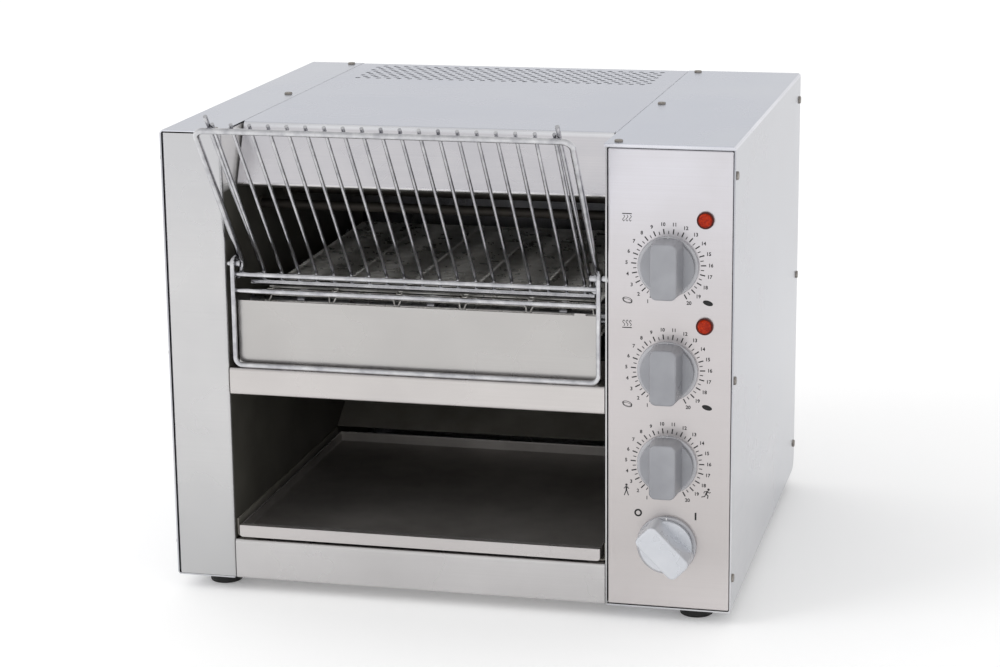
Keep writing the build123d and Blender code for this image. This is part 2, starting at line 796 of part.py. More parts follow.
band_outer = belt_radius - belt_wire / 2 - band_seat
band_inner = band_outer - band_thickness
band_section = SlotCenterToCenter(belt_span, 2 * band_outer)
band_section -= SlotCenterToCenter(belt_span, 2 * band_inner)
band_section = Pos(belt_front_y + belt_span / 2, belt_axis_z) * band_section
band_first = belt_left + band_width
band_step = (belt_right - belt_left - 2 * band_width) / (band_count - 1)
band_centres = [band_first + i * band_step for i in range(band_count)]
save("belt_links", *[along_x(band_section, x - band_width / 2, x + band_width / 2)
                     for x in band_centres])

# ---------------------------------------------------------------- shafts, wheels, bushes
wheel_tip = belt_radius - belt_wire / 2 - wheel_gap
wheel_xs = [band_first + (bay + 0.5) * band_step for bay in range(0, band_count - 1, 2)]
belt_wheel = toothed_disc(wheel_teeth, wheel_tip, wheel_tooth, wheel_width)
belt_wheel -= Cylinder(shaft_size / 2, wheel_width)


def wheel_set(y):
    """One toothed wheel in every second bay between the belt's bands."""
    return [across_x(belt_wheel, x, y, belt_axis_z) for x in wheel_xs]


shaft_left = left_wall - sheet - bush_length
idler_right = right_wall + sheet + bush_length
drive_right = chain_x + chain_width + shaft_overhang
save("idler_shaft", rod_x(shaft_left, idler_right, belt_front_y, belt_axis_z, shaft_size))
save("idler_wheels", *wheel_set(belt_front_y))
save("drive_shaft", rod_x(shaft_left, drive_right, belt_rear_y, belt_axis_z, shaft_size))
save("drive_wheels", *wheel_set(belt_rear_y))


def shaft_bush(wall, outward, y):
    """Flanged bush pushed into an inner wall from the outside."""
    inner_end = wall
    outer_end = wall + outward * (sheet + bush_length - bush_flange_width)
    flange_end = wall + outward * (sheet + bush_flange_width)
    bush = rod_x(min(inner_end, outer_end), max(inner_end, outer_end), y, belt_axis_z, bush_size)
    flange_start = wall + outward * sheet
    bush += rod_x(min(flange_start, flange_end), max(flange_start, flange_end), y,
                  belt_axis_z, bush_flange)
    return bush - rod_x(0, body_width, y, belt_axis_z, shaft_size + 2 * running_fit)


save("shaft_bushes", *[shaft_bush(wall, outward, y)
                       for wall, outward in ((left_wall, -1), (right_wall, 1))
                       for y in belt_shaft_ys])

# ---------------------------------------------------------------- chain drive
drive_sprocket = toothed_disc(drive_teeth, drive_sprocket_radius, sprocket_tooth, sprocket_width)
drive_sprocket += Cylinder(sprocket_hub / 2, chain_width)
drive_sprocket -= Cylinder(shaft_size / 2, chain_width)
save("drive_sprocket", across_x(drive_sprocket, chain_x, belt_rear_y, belt_axis_z))

motor_sprocket = toothed_disc(motor_teeth, motor_sprocket_radius, sprocket_tooth, sprocket_width)
motor_sprocket += Cylinder(sprocket_hub / 2, chain_width)
motor_sprocket -= Cylinder(shaft_size / 2, chain_width)
save("motor_sprocket", across_x(motor_sprocket, chain_x, motor_y, motor_z))

chain_rise = belt_axis_z - motor_z
chain_run = belt_rear_y - motor_y
chain_centres = (chain_rise ** 2 + chain_run ** 2) ** 0.5
chain_angle = degrees(atan2(chain_rise, chain_run))


def chain_loop(clearance):
    """Taut loop round both sprockets, a clearance outside the teeth, as a face."""
    big = drive_sprocket_radius + clearance
    small = motor_sprocket_radius + clearance
    tilt = asin((big - small) / chain_centres)
    small_edge = (small * -sin(tilt), small * cos(tilt))
    big_edge = (chain_centres + big * -sin(tilt), big * cos(tilt))
    upper = Line(small_edge, big_edge)
    round_big = ThreePointArc(big_edge, (chain_centres + big, 0), (big_edge[0], -big_edge[1]))
    lower = Line((big_edge[0], -big_edge[1]), (small_edge[0], -small_edge[1]))
    round_small = ThreePointArc((small_edge[0], -small_edge[1]), (-small, 0), small_edge)
    return make_face([upper, round_big, lower, round_small])


chain_face = chain_loop(chain_gap + chain_thickness) - chain_loop(chain_gap)
chain_face = Pos(motor_y, motor_z) * Rot(0, 0, chain_angle) * chain_face
save("drive_chain", along_x(chain_face, chain_x - chain_width / 2, chain_x + chain_width / 2))

gearbox_x = chain_x + chain_width / 2 + gearbox_gap
gearbox_end = gearbox_x + gearbox_width
half_box = gearbox_size / 2
gearbox = block(gearbox_x, gearbox_end, motor_y - half_box, motor_y + half_box,
                motor_z - half_box, motor_z + half_box)
gearbox = fillet(gearbox.edges().filter_by(Axis.X), gearbox_corner)
gearbox += rod_x(gearbox_end, gearbox_end + motor_length, motor_y, motor_z, motor_can)
post_reach = half_box - gearbox_post_inset
gearbox += [rod_x(right_wall + sheet + seam, gearbox_x, motor_y + a * post_reach,
                  motor_z + b * post_reach, gearbox_post) for a in (-1, 1) for b in (-1, 1)]
gearbox -= rod_x(gearbox_x - past, gearbox_end - gearbox_cover, motor_y, motor_z,
                 shaft_size + 2 * running_fit)
save("gear_motor", gearbox)
save("motor_shaft", rod_x(chain_x - chain_width, gearbox_end - 2 * gearbox_cover, motor_y,
                          motor_z, shaft_size))

# ---------------------------------------------------------------- loading rack
rod_y_place = loop_y + loop_wire + weld_seat

# Loop that hooks over the two wall pins and hangs down to the header ledge
hook_back = pin_y + hook_radius
hook_top = pin_z + hook_radius
hook_bend = hook_radius - hook_straight
tail_z = pin_z - hook_tail
save("rack_hanger_loop",
     wire_form([(loop_left_x, hook_back, tail_z), (loop_left_x, hook_back, hook_top),
                (loop_left_x, loop_y, hook_top), (loop_left_x, loop_y, loop_z),
                (loop_right_x, loop_y, loop_z), (loop_right_x, loop_y, hook_top),
                (loop_right_x, hook_back, hook_top), (loop_right_x, hook_back, tail_z)],
               loop_wire, [hook_bend, hook_bend, loop_corner, loop_corner,
                           hook_bend, hook_bend]))

# Outer frame: forward runs from the upper rod, side wires and the top bar
frame_left_x = left_wall + frame_left_gap
frame_right_x = right_wall - frame_right_gap
frame_run_z = pin_z - frame_run_drop
frame_bend_y = top_bar_y + (top_bar_z - frame_run_z) * slope[0] / -slope[1]
run_start = rod_y_place + loop_wire / 2 + weld_seat
save("rack_frame",
     wire_form([(frame_left_x, run_start, frame_run_z),
                (frame_left_x, frame_bend_y, frame_run_z),
                (frame_left_x, top_bar_y, top_bar_z),
                (frame_right_x, top_bar_y, top_bar_z),
                (frame_right_x, frame_bend_y, frame_run_z),
                (frame_right_x, run_start, frame_run_z)],
               frame_wire, [frame_corner] * 4))

# Slope wires, bent upright at the foot rod
slope_kink_z = pin_z - slope_kink_drop
slope_base = raised((frame_wire + slope_wire) / 2 + weld_seat)
slope_kink_y = slope_base[0] + (slope_base[1] - slope_kink_z) * slope[0] / -slope[1]
slope_start = (slope_base[0] - slope_tip * slope[0], slope_base[1] - slope_tip * slope[1])
one_slope_wire = wire_form([(0, *slope_start), (0, slope_kink_y, slope_kink_z),
                            (0, slope_kink_y, pin_z - slope_end_drop)],
                           slope_wire, slope_kink_bend)
slope_xs = spread(left_wall + slope_left_gap, right_wall - slope_right_gap, slope_wire_count)
save("rack_slope_wires", *[Pos(x, 0, 0) * one_slope_wire for x in slope_xs])

# Two rods welded across the loop, and the rod that the slope wires stand on
foot_rod_y = slope_kink_y - (slope_wire + foot_rod) / 2 - weld_seat
foot_rod_z = pin_z - foot_rod_drop
cross_rods = [rod_x(loop_left_x - loop_wire / 2, loop_right_x + loop_wire / 2,
                    rod_y_place, pin_z - drop, loop_wire)
              for drop in (upper_rod_drop, lower_rod_drop)]
cross_rods.append(rod_x(left_wall + foot_rod_left_gap, right_wall - foot_rod_right_gap,
                        foot_rod_y, foot_rod_z, foot_rod))
save("rack_cross_rods", *cross_rods)

# Raised guide wires at both sides
guide_reach = foot_rod / 2 + weld_seat
guide_turn = atan2(guide_low_z - foot_rod_z, guide_low_y - foot_rod_y)
guide_end = (foot_rod_y + guide_reach * cos(guide_turn), foot_rod_z + guide_reach * sin(guide_turn))
one_guide = wire_form([(0, guide_tip_y, guide_tip_z), (0, guide_low_y, guide_low_z),
                       (0, *guide_end)], guide_wire, guide_bend)
save("rack_guide_wires", *[Pos(x, 0, 0) * one_guide
                           for x in (slope_xs[0] - guide_offset, slope_xs[-1] + guide_offset)])


def rack_pin(wall, outward, reach):
    """Pin riveted in an inner wall, with its head outside the opening."""
    tip = wall - outward * reach
    head_start = wall + outward * sheet
    head_end = head_start + outward * pin_head_width
    pin = rod_x(min(tip, head_end), max(tip, head_end), pin_y, pin_z, pin_size)
    end_edges = pin.edges().filter_by(GeomType.CIRCLE).sort_by(Axis.X)
    pin = fillet(end_edges[-1:] if outward < 0 else end_edges[:1], pin_round)
    return pin + rod_x(min(head_start, head_end), max(head_start, head_end), pin_y, pin_z,
                       pin_head)


save("rack_pins", rack_pin(left_wall, -1, left_pin_reach),
     rack_pin(right_wall, 1, right_pin_reach))

# ---------------------------------------------------------------- knobs and spindles
knob_back = -bezel_height - knob_gap
spindle_front = knob_back - knob_bore_depth
neck_back = sheet
spindle_back = neck_back + spindle_depth


def facing_front(section, y):
    """Put a sketch in the plane Y = y, seen upright from the front."""
    return Plane(origin=(0, y, 0), x_dir=(1, 0, 0), z_dir=(0, -1, 0)) * section


def spindle():
    """Round spindle along Y with a flat where the knob fits."""
    shaft = rod_y(0, spindle_front, spindle_back, 0, spindle_size)
    flat_x = spindle_size / 2 - spindle_flat
    return shaft - block(flat_x, spindle_size, spindle_front - past, knob_back - past,
                         -spindle_size, spindle_size)


def knob():
    """Round base with a tapered grip bar, bored for its spindle."""
    base = rod_y(0, knob_back - knob_base, knob_back, 0, knob_base_size)
    grip_back = facing_front(RectangleRounded(grip_width, grip_length, grip_corner), knob_back)
    grip_front = facing_front(RectangleRounded(grip_front_width, grip_front_length,
                                               grip_front_corner), -knob_reach)
    grip = loft([grip_back, grip_front])
    grip = fillet(grip.faces().sort_by(Axis.Y)[0].edges(), grip_round)
    return base + grip - spindle()


one_knob = knob()
one_spindle = spindle()
for knob_name, knob_z in knob_places.items():
    turn = -power_rest_angle if knob_name == "power" else 0
    place = Pos(control_x, 0, knob_z) * Rot(0, turn, 0)
    save(f"{knob_name}_knob", place * one_knob)
    save(f"{knob_name}_spindle", place * one_spindle)

bezel = rod_y(0, -bezel_height, 0, 0, bezel_size)
bezel = fillet(bezel.edges().filter_by(GeomType.CIRCLE).sort_by(Axis.Y)[:1], bezel_edge)
bezel -= rod_y(0, -bezel_height - past, past, 0, bezel_bore)
save("knob_bezels", *[Pos(control_x, 0, z) * bezel for z in knob_places.values()])


def regulator(width, height, depth, z):
    """Boxed regulator behind the panel, with the neck that the spindle turns in."""
    body = block(-width / 2, width / 2, neck_back, neck_back + depth, -height / 2, height / 2)
    body = fillet(body.edges().filter_by(Axis.Y), regulator_corner)
    body += rod_y(0, -neck_reach, neck_back, 0, neck_size)
    body -= rod_y(0, -neck_reach - past, spindle_back + seam, 0, spindle_size + 2 * spindle_fit)
    return Pos(control_x, 0, z) * body


save("heat_regulators", *[regulator(regulator_width, regulator_height, regulator_depth, z)
                          for z in (top_heat_z, bottom_heat_z)])
save("power_switch", regulator(switch_size, switch_size, switch_depth, power_z))

pot = rod_y(0, neck_back, neck_back + speed_pot_depth, 0, speed_pot)
pot += rod_y(0, -neck_reach, neck_back, 0, neck_size)
board_y = neck_back + speed_pot_depth
pot += block(-board_width / 2, board_width / 2, board_y, board_y + board_thickness,
             -board_height / 2, board_height / 2)
pot -= rod_y(0, -neck_reach - past, spindle_back + seam, 0, spindle_size + 2 * spindle_fit)
save("speed_controller", Pos(control_x, 0, speed_z) * pot)

# ---------------------------------------------------------------- lamps
holder = rod_y(0, -lamp_rim_height, 0, 0, lamp_rim) + rod_y(0, 0, lamp_depth, 0, lamp_barrel)
lens_seat = rod_y(0, -lamp_rim_height - past, -lamp_rim_height / 2, 0, lamp_lens)
holder -= lens_seat
lens = rod_y(0, -lamp_rim_height - lamp_dome / 2, -lamp_rim_height / 2, 0, lamp_lens)
lens = fillet(lens.edges().filter_by(GeomType.CIRCLE).sort_by(Axis.Y)[:1], lamp_dome / 2)
save("lamp_holders", *[Pos(lamp_x, 0, z) * holder for z in lamp_heights])
save("lamp_lenses", *[Pos(lamp_x, 0, z) * lens for z in lamp_heights])

# ---------------------------------------------------------------- cooling fan
fan_back = rear_inside - seam
fan_front = fan_back - fan_depth
fan_half = fan_size / 2
strut_front = fan_back - fan_strut_depth
fan_frame = block(-fan_half, fan_half, fan_front, fan_back, -fan_half, fan_half)
fan_frame = fillet(fan_frame.edges().filter_by(Axis.Y), fan_corner)
fan_frame -= rod_y(0, fan_front - past, fan_back + past, 0, fan_throat)
strut = block(-fan_throat / 2 - past, fan_throat / 2 + past, strut_front, fan_back,
              -fan_strut / 2, fan_strut / 2)
fan_frame += strut + Rot(0, 90, 0) * strut
fan_frame += rod_y(0, strut_front, fan_back, 0, fan_hub)
fan_frame += rod_y(0, fan_front + fan_pin_inset, strut_front, 0, fan_pin)
save("cooling_fan_frame", Pos(fan_x, 0, fan_z) * fan_frame)

rotor_back = strut_front - fan_strut_gap
rotor_front = fan_front + fan_rotor_inset
blade_tip = fan_throat / 2 - fan_tip_gap
blade_root = fan_hub / 2 - fan_blade_root
rotor = rod_y(0, rotor_front, rotor_back, 0, fan_hub)
blade = Box(blade_tip - blade_root, rotor_back - rotor_front - 2 * fan_blade_inset,
            fan_blade_width)
blade = (Pos((blade_tip + blade_root) / 2, (rotor_front + rotor_back) / 2, 0)
         * Rot(fan_blade_pitch, 0, 0) * blade)
rotor += [Rot(0, i * 360 / fan_blades, 0) * blade for i in range(fan_blades)]
rotor -= rod_y(0, rotor_front + fan_hub_wall, rotor_back + past, 0, fan_pin + 2 * running_fit)
save("fan_rotor", Pos(fan_x, 0, fan_z) * rotor)

# ---------------------------------------------------------------- mains entry
gland = rod_y(0, rear_inside - gland_nut_width, rear_face + gland_reach, 0, gland_body)
hexagon = RegularPolygon(gland_nut / 2, 6, major_radius=False)
gland += along_y(hexagon, rear_face, rear_face + gland_nut_width)
gland += along_y(hexagon, rear_inside - gland_nut_width, rear_inside)
gland -= rod_y(0, 0, rear_face + gland_reach + past, 0, gland_bore)
save("mains_gland", Pos(gland_x, 0, gland_z) * gland)

way = terminal_length / terminal_ways
terminal_x = right_wall + sheet + seam
terminal_y = body_depth - terminal_setback
terminal = block(terminal_x, terminal_x + terminal_width, terminal_y,
                 terminal_y + terminal_length, terminal_z, terminal_z + terminal_height)
terminal -= [block(terminal_x + terminal_width / 2, terminal_x + terminal_width + past,
                   terminal_y + i * way + terminal_rib, terminal_y + (i + 1) * way - terminal_rib,
                   terminal_z + terminal_height / 2, terminal_z + terminal_height + past)
             for i in range(terminal_ways)]
save("terminal_block", terminal)
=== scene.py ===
from math import pi, radians

import bpy
import numpy as np
from mathutils import Matrix, Vector


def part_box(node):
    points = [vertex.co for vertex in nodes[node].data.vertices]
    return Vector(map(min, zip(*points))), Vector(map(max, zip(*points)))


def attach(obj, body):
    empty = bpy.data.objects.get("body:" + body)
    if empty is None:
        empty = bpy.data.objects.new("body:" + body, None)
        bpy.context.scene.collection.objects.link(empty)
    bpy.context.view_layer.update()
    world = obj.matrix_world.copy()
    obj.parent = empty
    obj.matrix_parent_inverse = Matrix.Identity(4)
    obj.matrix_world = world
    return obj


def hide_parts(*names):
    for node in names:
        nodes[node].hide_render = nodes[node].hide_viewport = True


# Looks of the conveyor toaster. Sizes are in millimetres in cabinet coordinates, as in the
# CAD source: X from the outside of the left cover, Y from the front plane towards the back,
# Z from the underside of the sheet metal. in_frame() turns them into metres in the frame.

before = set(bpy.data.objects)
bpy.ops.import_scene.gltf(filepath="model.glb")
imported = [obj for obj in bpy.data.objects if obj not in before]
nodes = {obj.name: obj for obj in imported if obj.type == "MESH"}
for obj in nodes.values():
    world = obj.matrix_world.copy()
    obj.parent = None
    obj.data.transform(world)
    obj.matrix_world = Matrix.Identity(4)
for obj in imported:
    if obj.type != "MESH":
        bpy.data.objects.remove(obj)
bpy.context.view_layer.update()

MM = 0.001
CABINET_CORNER = np.array(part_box("left_side_cover")[0])
X, Y, Z = range(3)


def in_frame(points):
    """Points in cabinet millimetres as points in the frame, in metres."""
    return CABINET_CORNER + MM * np.asarray(points, float)


def in_cabinet(node):
    """Lowest and highest corner of a CAD node, in cabinet millimetres."""
    low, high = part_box(node)
    return (np.array(low) - CABINET_CORNER) / MM, (np.array(high) - CABINET_CORNER) / MM


# ---------------------------------------------------------------- sizes
# Belt
CAD_WIRE = 2.0            # thickness of a cross wire in the CAD
WIRE_THICKNESS = 1.7
WIRE_SIDES = 6
BELT_PITCH = 5.6
LINK_ROWS = 6             # rows of links across the belt
LINK_BAND_HALF = 1.5      # half width of the CAD band that stands for a row
HOOK_HALF = 3.2           # half width of one link, where the wire hooks the wire before it
HOOK_PLACES = (-1.0, -0.72, -0.5, 0.5, 0.72, 1.0)   # across one link, in half widths
HOOK_DEPTHS = (0.0, 0.5, 1.0, 1.0, 0.5, 0.0)        # step back at those places, in pitches
HOOK_LIFT = 0.5           # the hooking wire lies this far outside the hooked one

# Ink
PRINT_LIFT = 0.06         # above the steel
PRINT_LAYERS = 5          # strokes that cross lie in different layers
LAYER_STEP = 0.01
INK_SPREAD = 0.03         # letters spread by this share of their size on both sides
LETTER_STEPS = 3          # steps along each curve of a letter
MITRE_LIMIT = 0.5         # keeps the corner of a sharp bend from reaching far out
SMALLEST_SHARE = 0.001    # inner rim of a full ellipse, as a share of its outer rim

# Scales printed round the knobs
SCALE_NUMBERS = 20
SCALE_END_ANGLE = 29.4    # degrees from straight down to the first and last number
TICK_INNER = 25.3
TICK_OUTER = 29.4
HALF_TICK_OUTER = 27.8
TICK_WIDTH = 0.95
HALF_TICK_WIDTH = 0.65
NUMBER_RADIUS = 33.0
NUMBER_SIZE = 3.9

# Heat signs: a bar and waves that end in an arrow, from the sign's centre (X, Z)
TOP_HEAT_SIGN = (380.8, 317.5)
BOTTOM_HEAT_SIGN = (381.0, 233.4)
HEAT_BAR_REACH = 3.2      # from the centre, against the way the heat goes
HEAT_BAR_HALF = 3.8
HEAT_BAR_WIDTH = 0.7
WAVE_PLACES = (-2.6, 0.0, 2.6)
WAVE_START = 1.2          # from the bar
WAVE_HEIGHT = 4.6
WAVE_SWAY = 0.8
WAVE_POINTS = 9
WAVE_WIDTH = 0.45
ARROW = ((-0.8, -0.9), (0.1, 0.2), (0.9, -0.9))     # from the end of a rising wave
ARROW_WIDTH = 0.4

# Bread slices: X, distance below the row, half length, half width, open share
SLICE_ROWS = (252.4, 168.6)
SLICES = ((381.3, 0.0, 4.1, 2.1, 0.8), (381.3, 0.9, 3.9, 1.7, 0.84),
          (444.5, 0.0, 4.1, 2.0, 0.0))
SLICE_TURN = -16          # degrees

# Walkers: where the head is, and strokes as a width and points, from the sign's centre
HEAD_RADIUS = 0.95
TRUNK = 1.3
ARM = 0.6
LEG = 0.75
STANDING = ((0.0, 4.1),
            ((TRUNK, (0.0, 2.9), (0.0, -0.3)),
             (ARM, (-2.0, 0.9), (-0.5, 2.6), (0.5, 2.6), (2.0, 0.9)),
             (LEG, (-1.7, -4.6), (-0.2, -0.4), (0.2, -0.4), (1.7, -4.6))))
RUNNING = ((1.6, 4.1),
           ((TRUNK, (1.0, 2.9), (-0.5, 0.1)),
            (ARM, (0.9, 2.6), (2.2, 1.3), (3.3, 2.0)),
            (ARM, (0.7, 2.5), (-1.6, 2.3), (-2.2, 0.9)),
            (LEG, (-0.4, 0.2), (1.3, -1.0), (0.8, -3.4)),
            (LEG, (-0.5, 0.2), (-1.5, -1.8), (-4.0, -2.3))))
SLOW_SIGN = (380.8, 97.8)
FAST_SIGN = (444.8, 97.8)

# O and I of the switch
SWITCH_O = (390.3, 79.3)
SWITCH_O_RADIUS = 3.15
SWITCH_O_OPEN = 0.56      # open share of its radius
SWITCH_I = ((436.3, 76.0), (436.3, 82.2))
SWITCH_I_WIDTH = 1.4

# Index line at the top of each bezel
INDEX_WIDTH = 0.9
INDEX_LIFT = 0.05         # above the bezel's face
INDEX_PLACES = (-3.0, -1.6, -0.9, -0.35, 0.04)      # along it, from the bezel's outer radius
INDEX_DEPTHS = (0.0, 0.0, 0.12, 0.55, 1.4)          # behind the bezel's face at those places

# ---------------------------------------------------------------- mesh helpers


def in_scene(name, data):
    """A new object of the scene that carries a mesh, curve, lamp or camera."""
    made = bpy.data.objects.new(name, data)
    bpy.context.scene.collection.objects.link(made)
    return made


def surface_mesh(name, points, faces, smooth=True):
    """A mesh object from points in cabinet millimetres and faces of equal side count."""
    mesh = bpy.data.meshes.new(name)
    faces = np.asarray(faces, np.int32)
    sides = faces.shape[1]
    mesh.vertices.add(len(points))
    mesh.vertices.foreach_set("co", in_frame(points).astype(np.float32).ravel())
    mesh.loops.add(faces.size)
    mesh.loops.foreach_set("vertex_index", faces.ravel())
    mesh.polygons.add(len(faces))
    mesh.polygons.foreach_set("loop_start", np.arange(len(faces), dtype=np.int32) * sides)
    mesh.polygons.foreach_set("use_smooth", np.full(len(faces), smooth))
    mesh.update(calc_edges=True)
    mesh.validate()
    return in_scene(name, mesh)


def grid_faces(rows, columns, closed):
    """Quads over a grid of points in row order; closed joins the last column to the first."""
    row, column = np.meshgrid(np.arange(rows - 1), np.arange(columns - (not closed)),
                              indexing="ij")
    after = (column + 1) % columns
    corners = [row * columns + column, row * columns + after,
               (row + 1) * columns + after, (row + 1) * columns + column]
    return np.stack(corners, -1).reshape(-1, 4)


def unit(vectors):
    """Vectors along the last axis, each made one long."""
    return vectors / np.linalg.norm(vectors, axis=-1, keepdims=True)


# ---------------------------------------------------------------- belt
belt_low, belt_high = in_cabinet("wire_belt")
front_axis = (in_cabinet("idler_shaft")[0] + in_cabinet("idler_shaft")[1]) / 2
rear_axis = (in_cabinet("drive_shaft")[0] + in_cabinet("drive_shaft")[1]) / 2
BELT_SPAN = rear_axis[Y] - front_axis[Y]
BELT_RADIUS = (belt_high[Z] - belt_low[Z] - CAD_WIRE) / 2
BELT_LENGTH = 2 * BELT_SPAN + 2 * pi * BELT_RADIUS


def on_belt(distance, lift):
    """Place on the belt's loop: straight above the shafts, a half circle round the rear
    shaft, straight back below, and a half circle round the front shaft. Lift is outwards.
    Returns the points' Y and Z and the outward direction's Y and Z."""
    half_turn = pi * BELT_RADIUS
    s = np.mod(distance, BELT_LENGTH)
    rear_end = BELT_SPAN + half_turn
    lower_end = rear_end + BELT_SPAN
    turn = np.where(s < BELT_SPAN, 0.0,
                    np.where(s < rear_end, (s - BELT_SPAN) / BELT_RADIUS,
                             np.where(s < lower_end, pi, pi + (s - lower_end) / BELT_RADIUS)))
    base_y = np.where(s < BELT_SPAN, front_axis[Y] + s,
                      np.where(s < rear_end, rear_axis[Y],
                               np.where(s < lower_end, rear_axis[Y] - (s - rear_end),
                                        front_axis[Y])))
    out_y, out_z = np.sin(turn), np.cos(turn)
    reach = BELT_RADIUS + lift
    return base_y + reach * out_y, front_axis[Z] + reach * out_z, out_y, out_z


def wire_belt():
    """Cross wires side by side. Each runs along X at its own distance round the loop. At
    every link it steps back by one pitch and outwards by the hook's lift, hooks round the
    wire before it and returns: a trapezoid wave along X, carried as a round tube."""
    wires = int(BELT_LENGTH / BELT_PITCH)
    pitch = BELT_LENGTH / wires
    links_low, links_high = in_cabinet("belt_links")
    link_xs = np.linspace(links_low[X] + LINK_BAND_HALF, links_high[X] - LINK_BAND_HALF,
                          LINK_ROWS)
    xs = (link_xs[:, None] + np.array(HOOK_PLACES) * HOOK_HALF).ravel()
    hooked = np.tile(HOOK_DEPTHS, LINK_ROWS)
    inside = (xs > belt_low[X] + WIRE_THICKNESS) & (xs < belt_high[X] - WIRE_THICKNESS)
    xs = np.hstack([belt_low[X] + WIRE_THICKNESS / 2, xs[inside],
                    belt_high[X] - WIRE_THICKNESS / 2])
    hooked = np.pad(hooked[inside], 1, "edge")
    distance = np.arange(wires)[:, None] * pitch - hooked * pitch
    y, z, out_y, out_z = on_belt(distance, hooked * HOOK_LIFT - HOOK_LIFT / 2)
    path = np.stack([np.broadcast_to(xs, y.shape), y, z], -1)
    along = unit(np.gradient(path, axis=1))
    outward = np.stack([np.zeros_like(y), out_y, out_z], -1)
    outward = unit(outward - (outward * along).sum(-1, keepdims=True) * along)
    across = np.cross(along, outward)
    angle = np.linspace(0, 2 * pi, WIRE_SIDES, endpoint=False)[:, None]
    ring = (np.cos(angle) * outward[:, :, None] + np.sin(angle) * across[:, :, None])
    points = path[:, :, None] + WIRE_THICKNESS / 2 * ring
    one = grid_faces(len(xs), WIRE_SIDES, True)
    faces = one[None] + (np.arange(wires) * len(xs) * WIRE_SIDES)[:, None, None]
    belt = surface_mesh("belt_mesh", points.reshape(-1, 3), faces.reshape(-1, 4)[:, ::-1])
    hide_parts("wire_belt", "belt_links")
    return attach(belt, "cabinet")


# ---------------------------------------------------------------- flat print
class Print:
    """Ink on a plane facing the front: patches drawn as (X, Z) and gathered in one mesh."""

    def __init__(self):
        self.points = []
        self.faces = []

    def patch(self, points, faces):
        """Add points and faces; a triangle repeats its last corner."""
        start = sum(len(p) for p in self.points)
        self.points.append(np.asarray(points, float))
        self.faces.append(np.asarray(faces) + start)

    def stroke(self, points, width):
        """A line of a width through points: each point moves half the width to both sides,
        along the mean of the normals of the runs that meet there."""
        points = np.asarray(points, float)
        runs = unit(np.diff(points, axis=0))
        normals = np.stack([-runs[:, 1], runs[:, 0]], -1)
        mitre = np.vstack([normals[:1], normals]) + np.vstack([normals, normals[-1:]])
        half_square = (mitre * mitre).sum(-1, keepdims=True) / 2
        mitre = mitre / np.maximum(half_square, MITRE_LIMIT)
        left, right = points + mitre * width / 2, points - mitre * width / 2
        n = len(points)
        self.patch(np.vstack([right, left]),
                   [(i, i + 1, n + i + 1, n + i) for i in range(n - 1)])

    def ellipse(self, centre, half_long, half_short, tilt, inner=0.0, sides=28):
        """An ellipse, or with inner a ring that starts at that share of it."""
        angle = np.linspace(0, 2 * pi, sides, endpoint=False)
        turn = radians(tilt)
        across = np.stack([np.cos(angle) * half_long, np.sin(angle) * half_short], -1)
        spin = np.array([[np.cos(turn), np.sin(turn)], [-np.sin(turn), np.cos(turn)]])
        rim = across @ spin
        share = max(inner, SMALLEST_SHARE)
        order = np.arange(sides)
        after = (order + 1) % sides
        self.patch(np.vstack([rim * share, rim]) + centre,
                   np.stack([order, sides + order, sides + after, after], -1))

    def text(self, words, centre, size):
        """Words in Blender's own plain font, centred on a point."""
        curve = bpy.data.curves.new("numeral", "FONT")
        curve.body = words
        curve.size = size
        curve.align_x = "CENTER"
        curve.align_y = "CENTER"
        curve.resolution_u = LETTER_STEPS
        curve.offset = size * INK_SPREAD
        holder = in_scene("numeral", curve)
        bpy.context.view_layer.update()
        mesh = bpy.data.meshes.new_from_object(holder)
        flat = np.array([v.co[:2] for v in mesh.vertices])
        corners = [list(p.vertices) for p in mesh.polygons]
        bpy.data.objects.remove(holder)
        bpy.data.curves.remove(curve)
        bpy.data.meshes.remove(mesh)
        if len(flat):
            quads = [c if len(c) == 4 else c + c[-1:] for c in corners if len(c) < 5]
            self.patch(flat + centre, quads)

    def mesh(self, name, y):
        """The gathered ink as one object on the plane Y = y, turned to the front, with each
        patch in the next of the layers."""
        flat = np.vstack(self.points)
        faces = np.vstack(self.faces)
        layer = np.repeat(np.arange(len(self.points)) % PRINT_LAYERS,
                          [len(p) for p in self.points])
        points = np.stack([flat[:, 0], y - layer * LAYER_STEP, flat[:, 1]], -1)
        mesh = bpy.data.meshes.new(name)
        mesh.from_pydata(in_frame(points).tolist(), [],
                         [list(dict.fromkeys(f)) for f in faces.tolist()])
        mesh.validate()
        mesh.update()
        return in_scene(name, mesh)


def dial_angles(count):
    """Angles of the scale's marks, clockwise from straight down."""
    return np.radians(np.linspace(SCALE_END_ANGLE, 360 - SCALE_END_ANGLE, count))


def dial_point(centre, angle, radius):
    """Point of a dial, at an angle clockwise from straight down."""
    return np.array([centre[0] - np.sin(angle) * radius, centre[1] - np.cos(angle) * radius])


def print_scale(ink, centre):
    """Numbers from 1 to 20 round a knob, with a long tick each and a short one between."""
    for number, angle in enumerate(dial_angles(SCALE_NUMBERS), 1):
        ink.stroke([dial_point(centre, angle, TICK_INNER),
                    dial_point(centre, angle, TICK_OUTER)], TICK_WIDTH)
        ink.text(str(number), dial_point(centre, angle, NUMBER_RADIUS), NUMBER_SIZE)
    for angle in dial_angles(2 * SCALE_NUMBERS - 1)[1::2]:
        ink.stroke([dial_point(centre, angle, TICK_INNER),
                    dial_point(centre, angle, HALF_TICK_OUTER)], HALF_TICK_WIDTH)


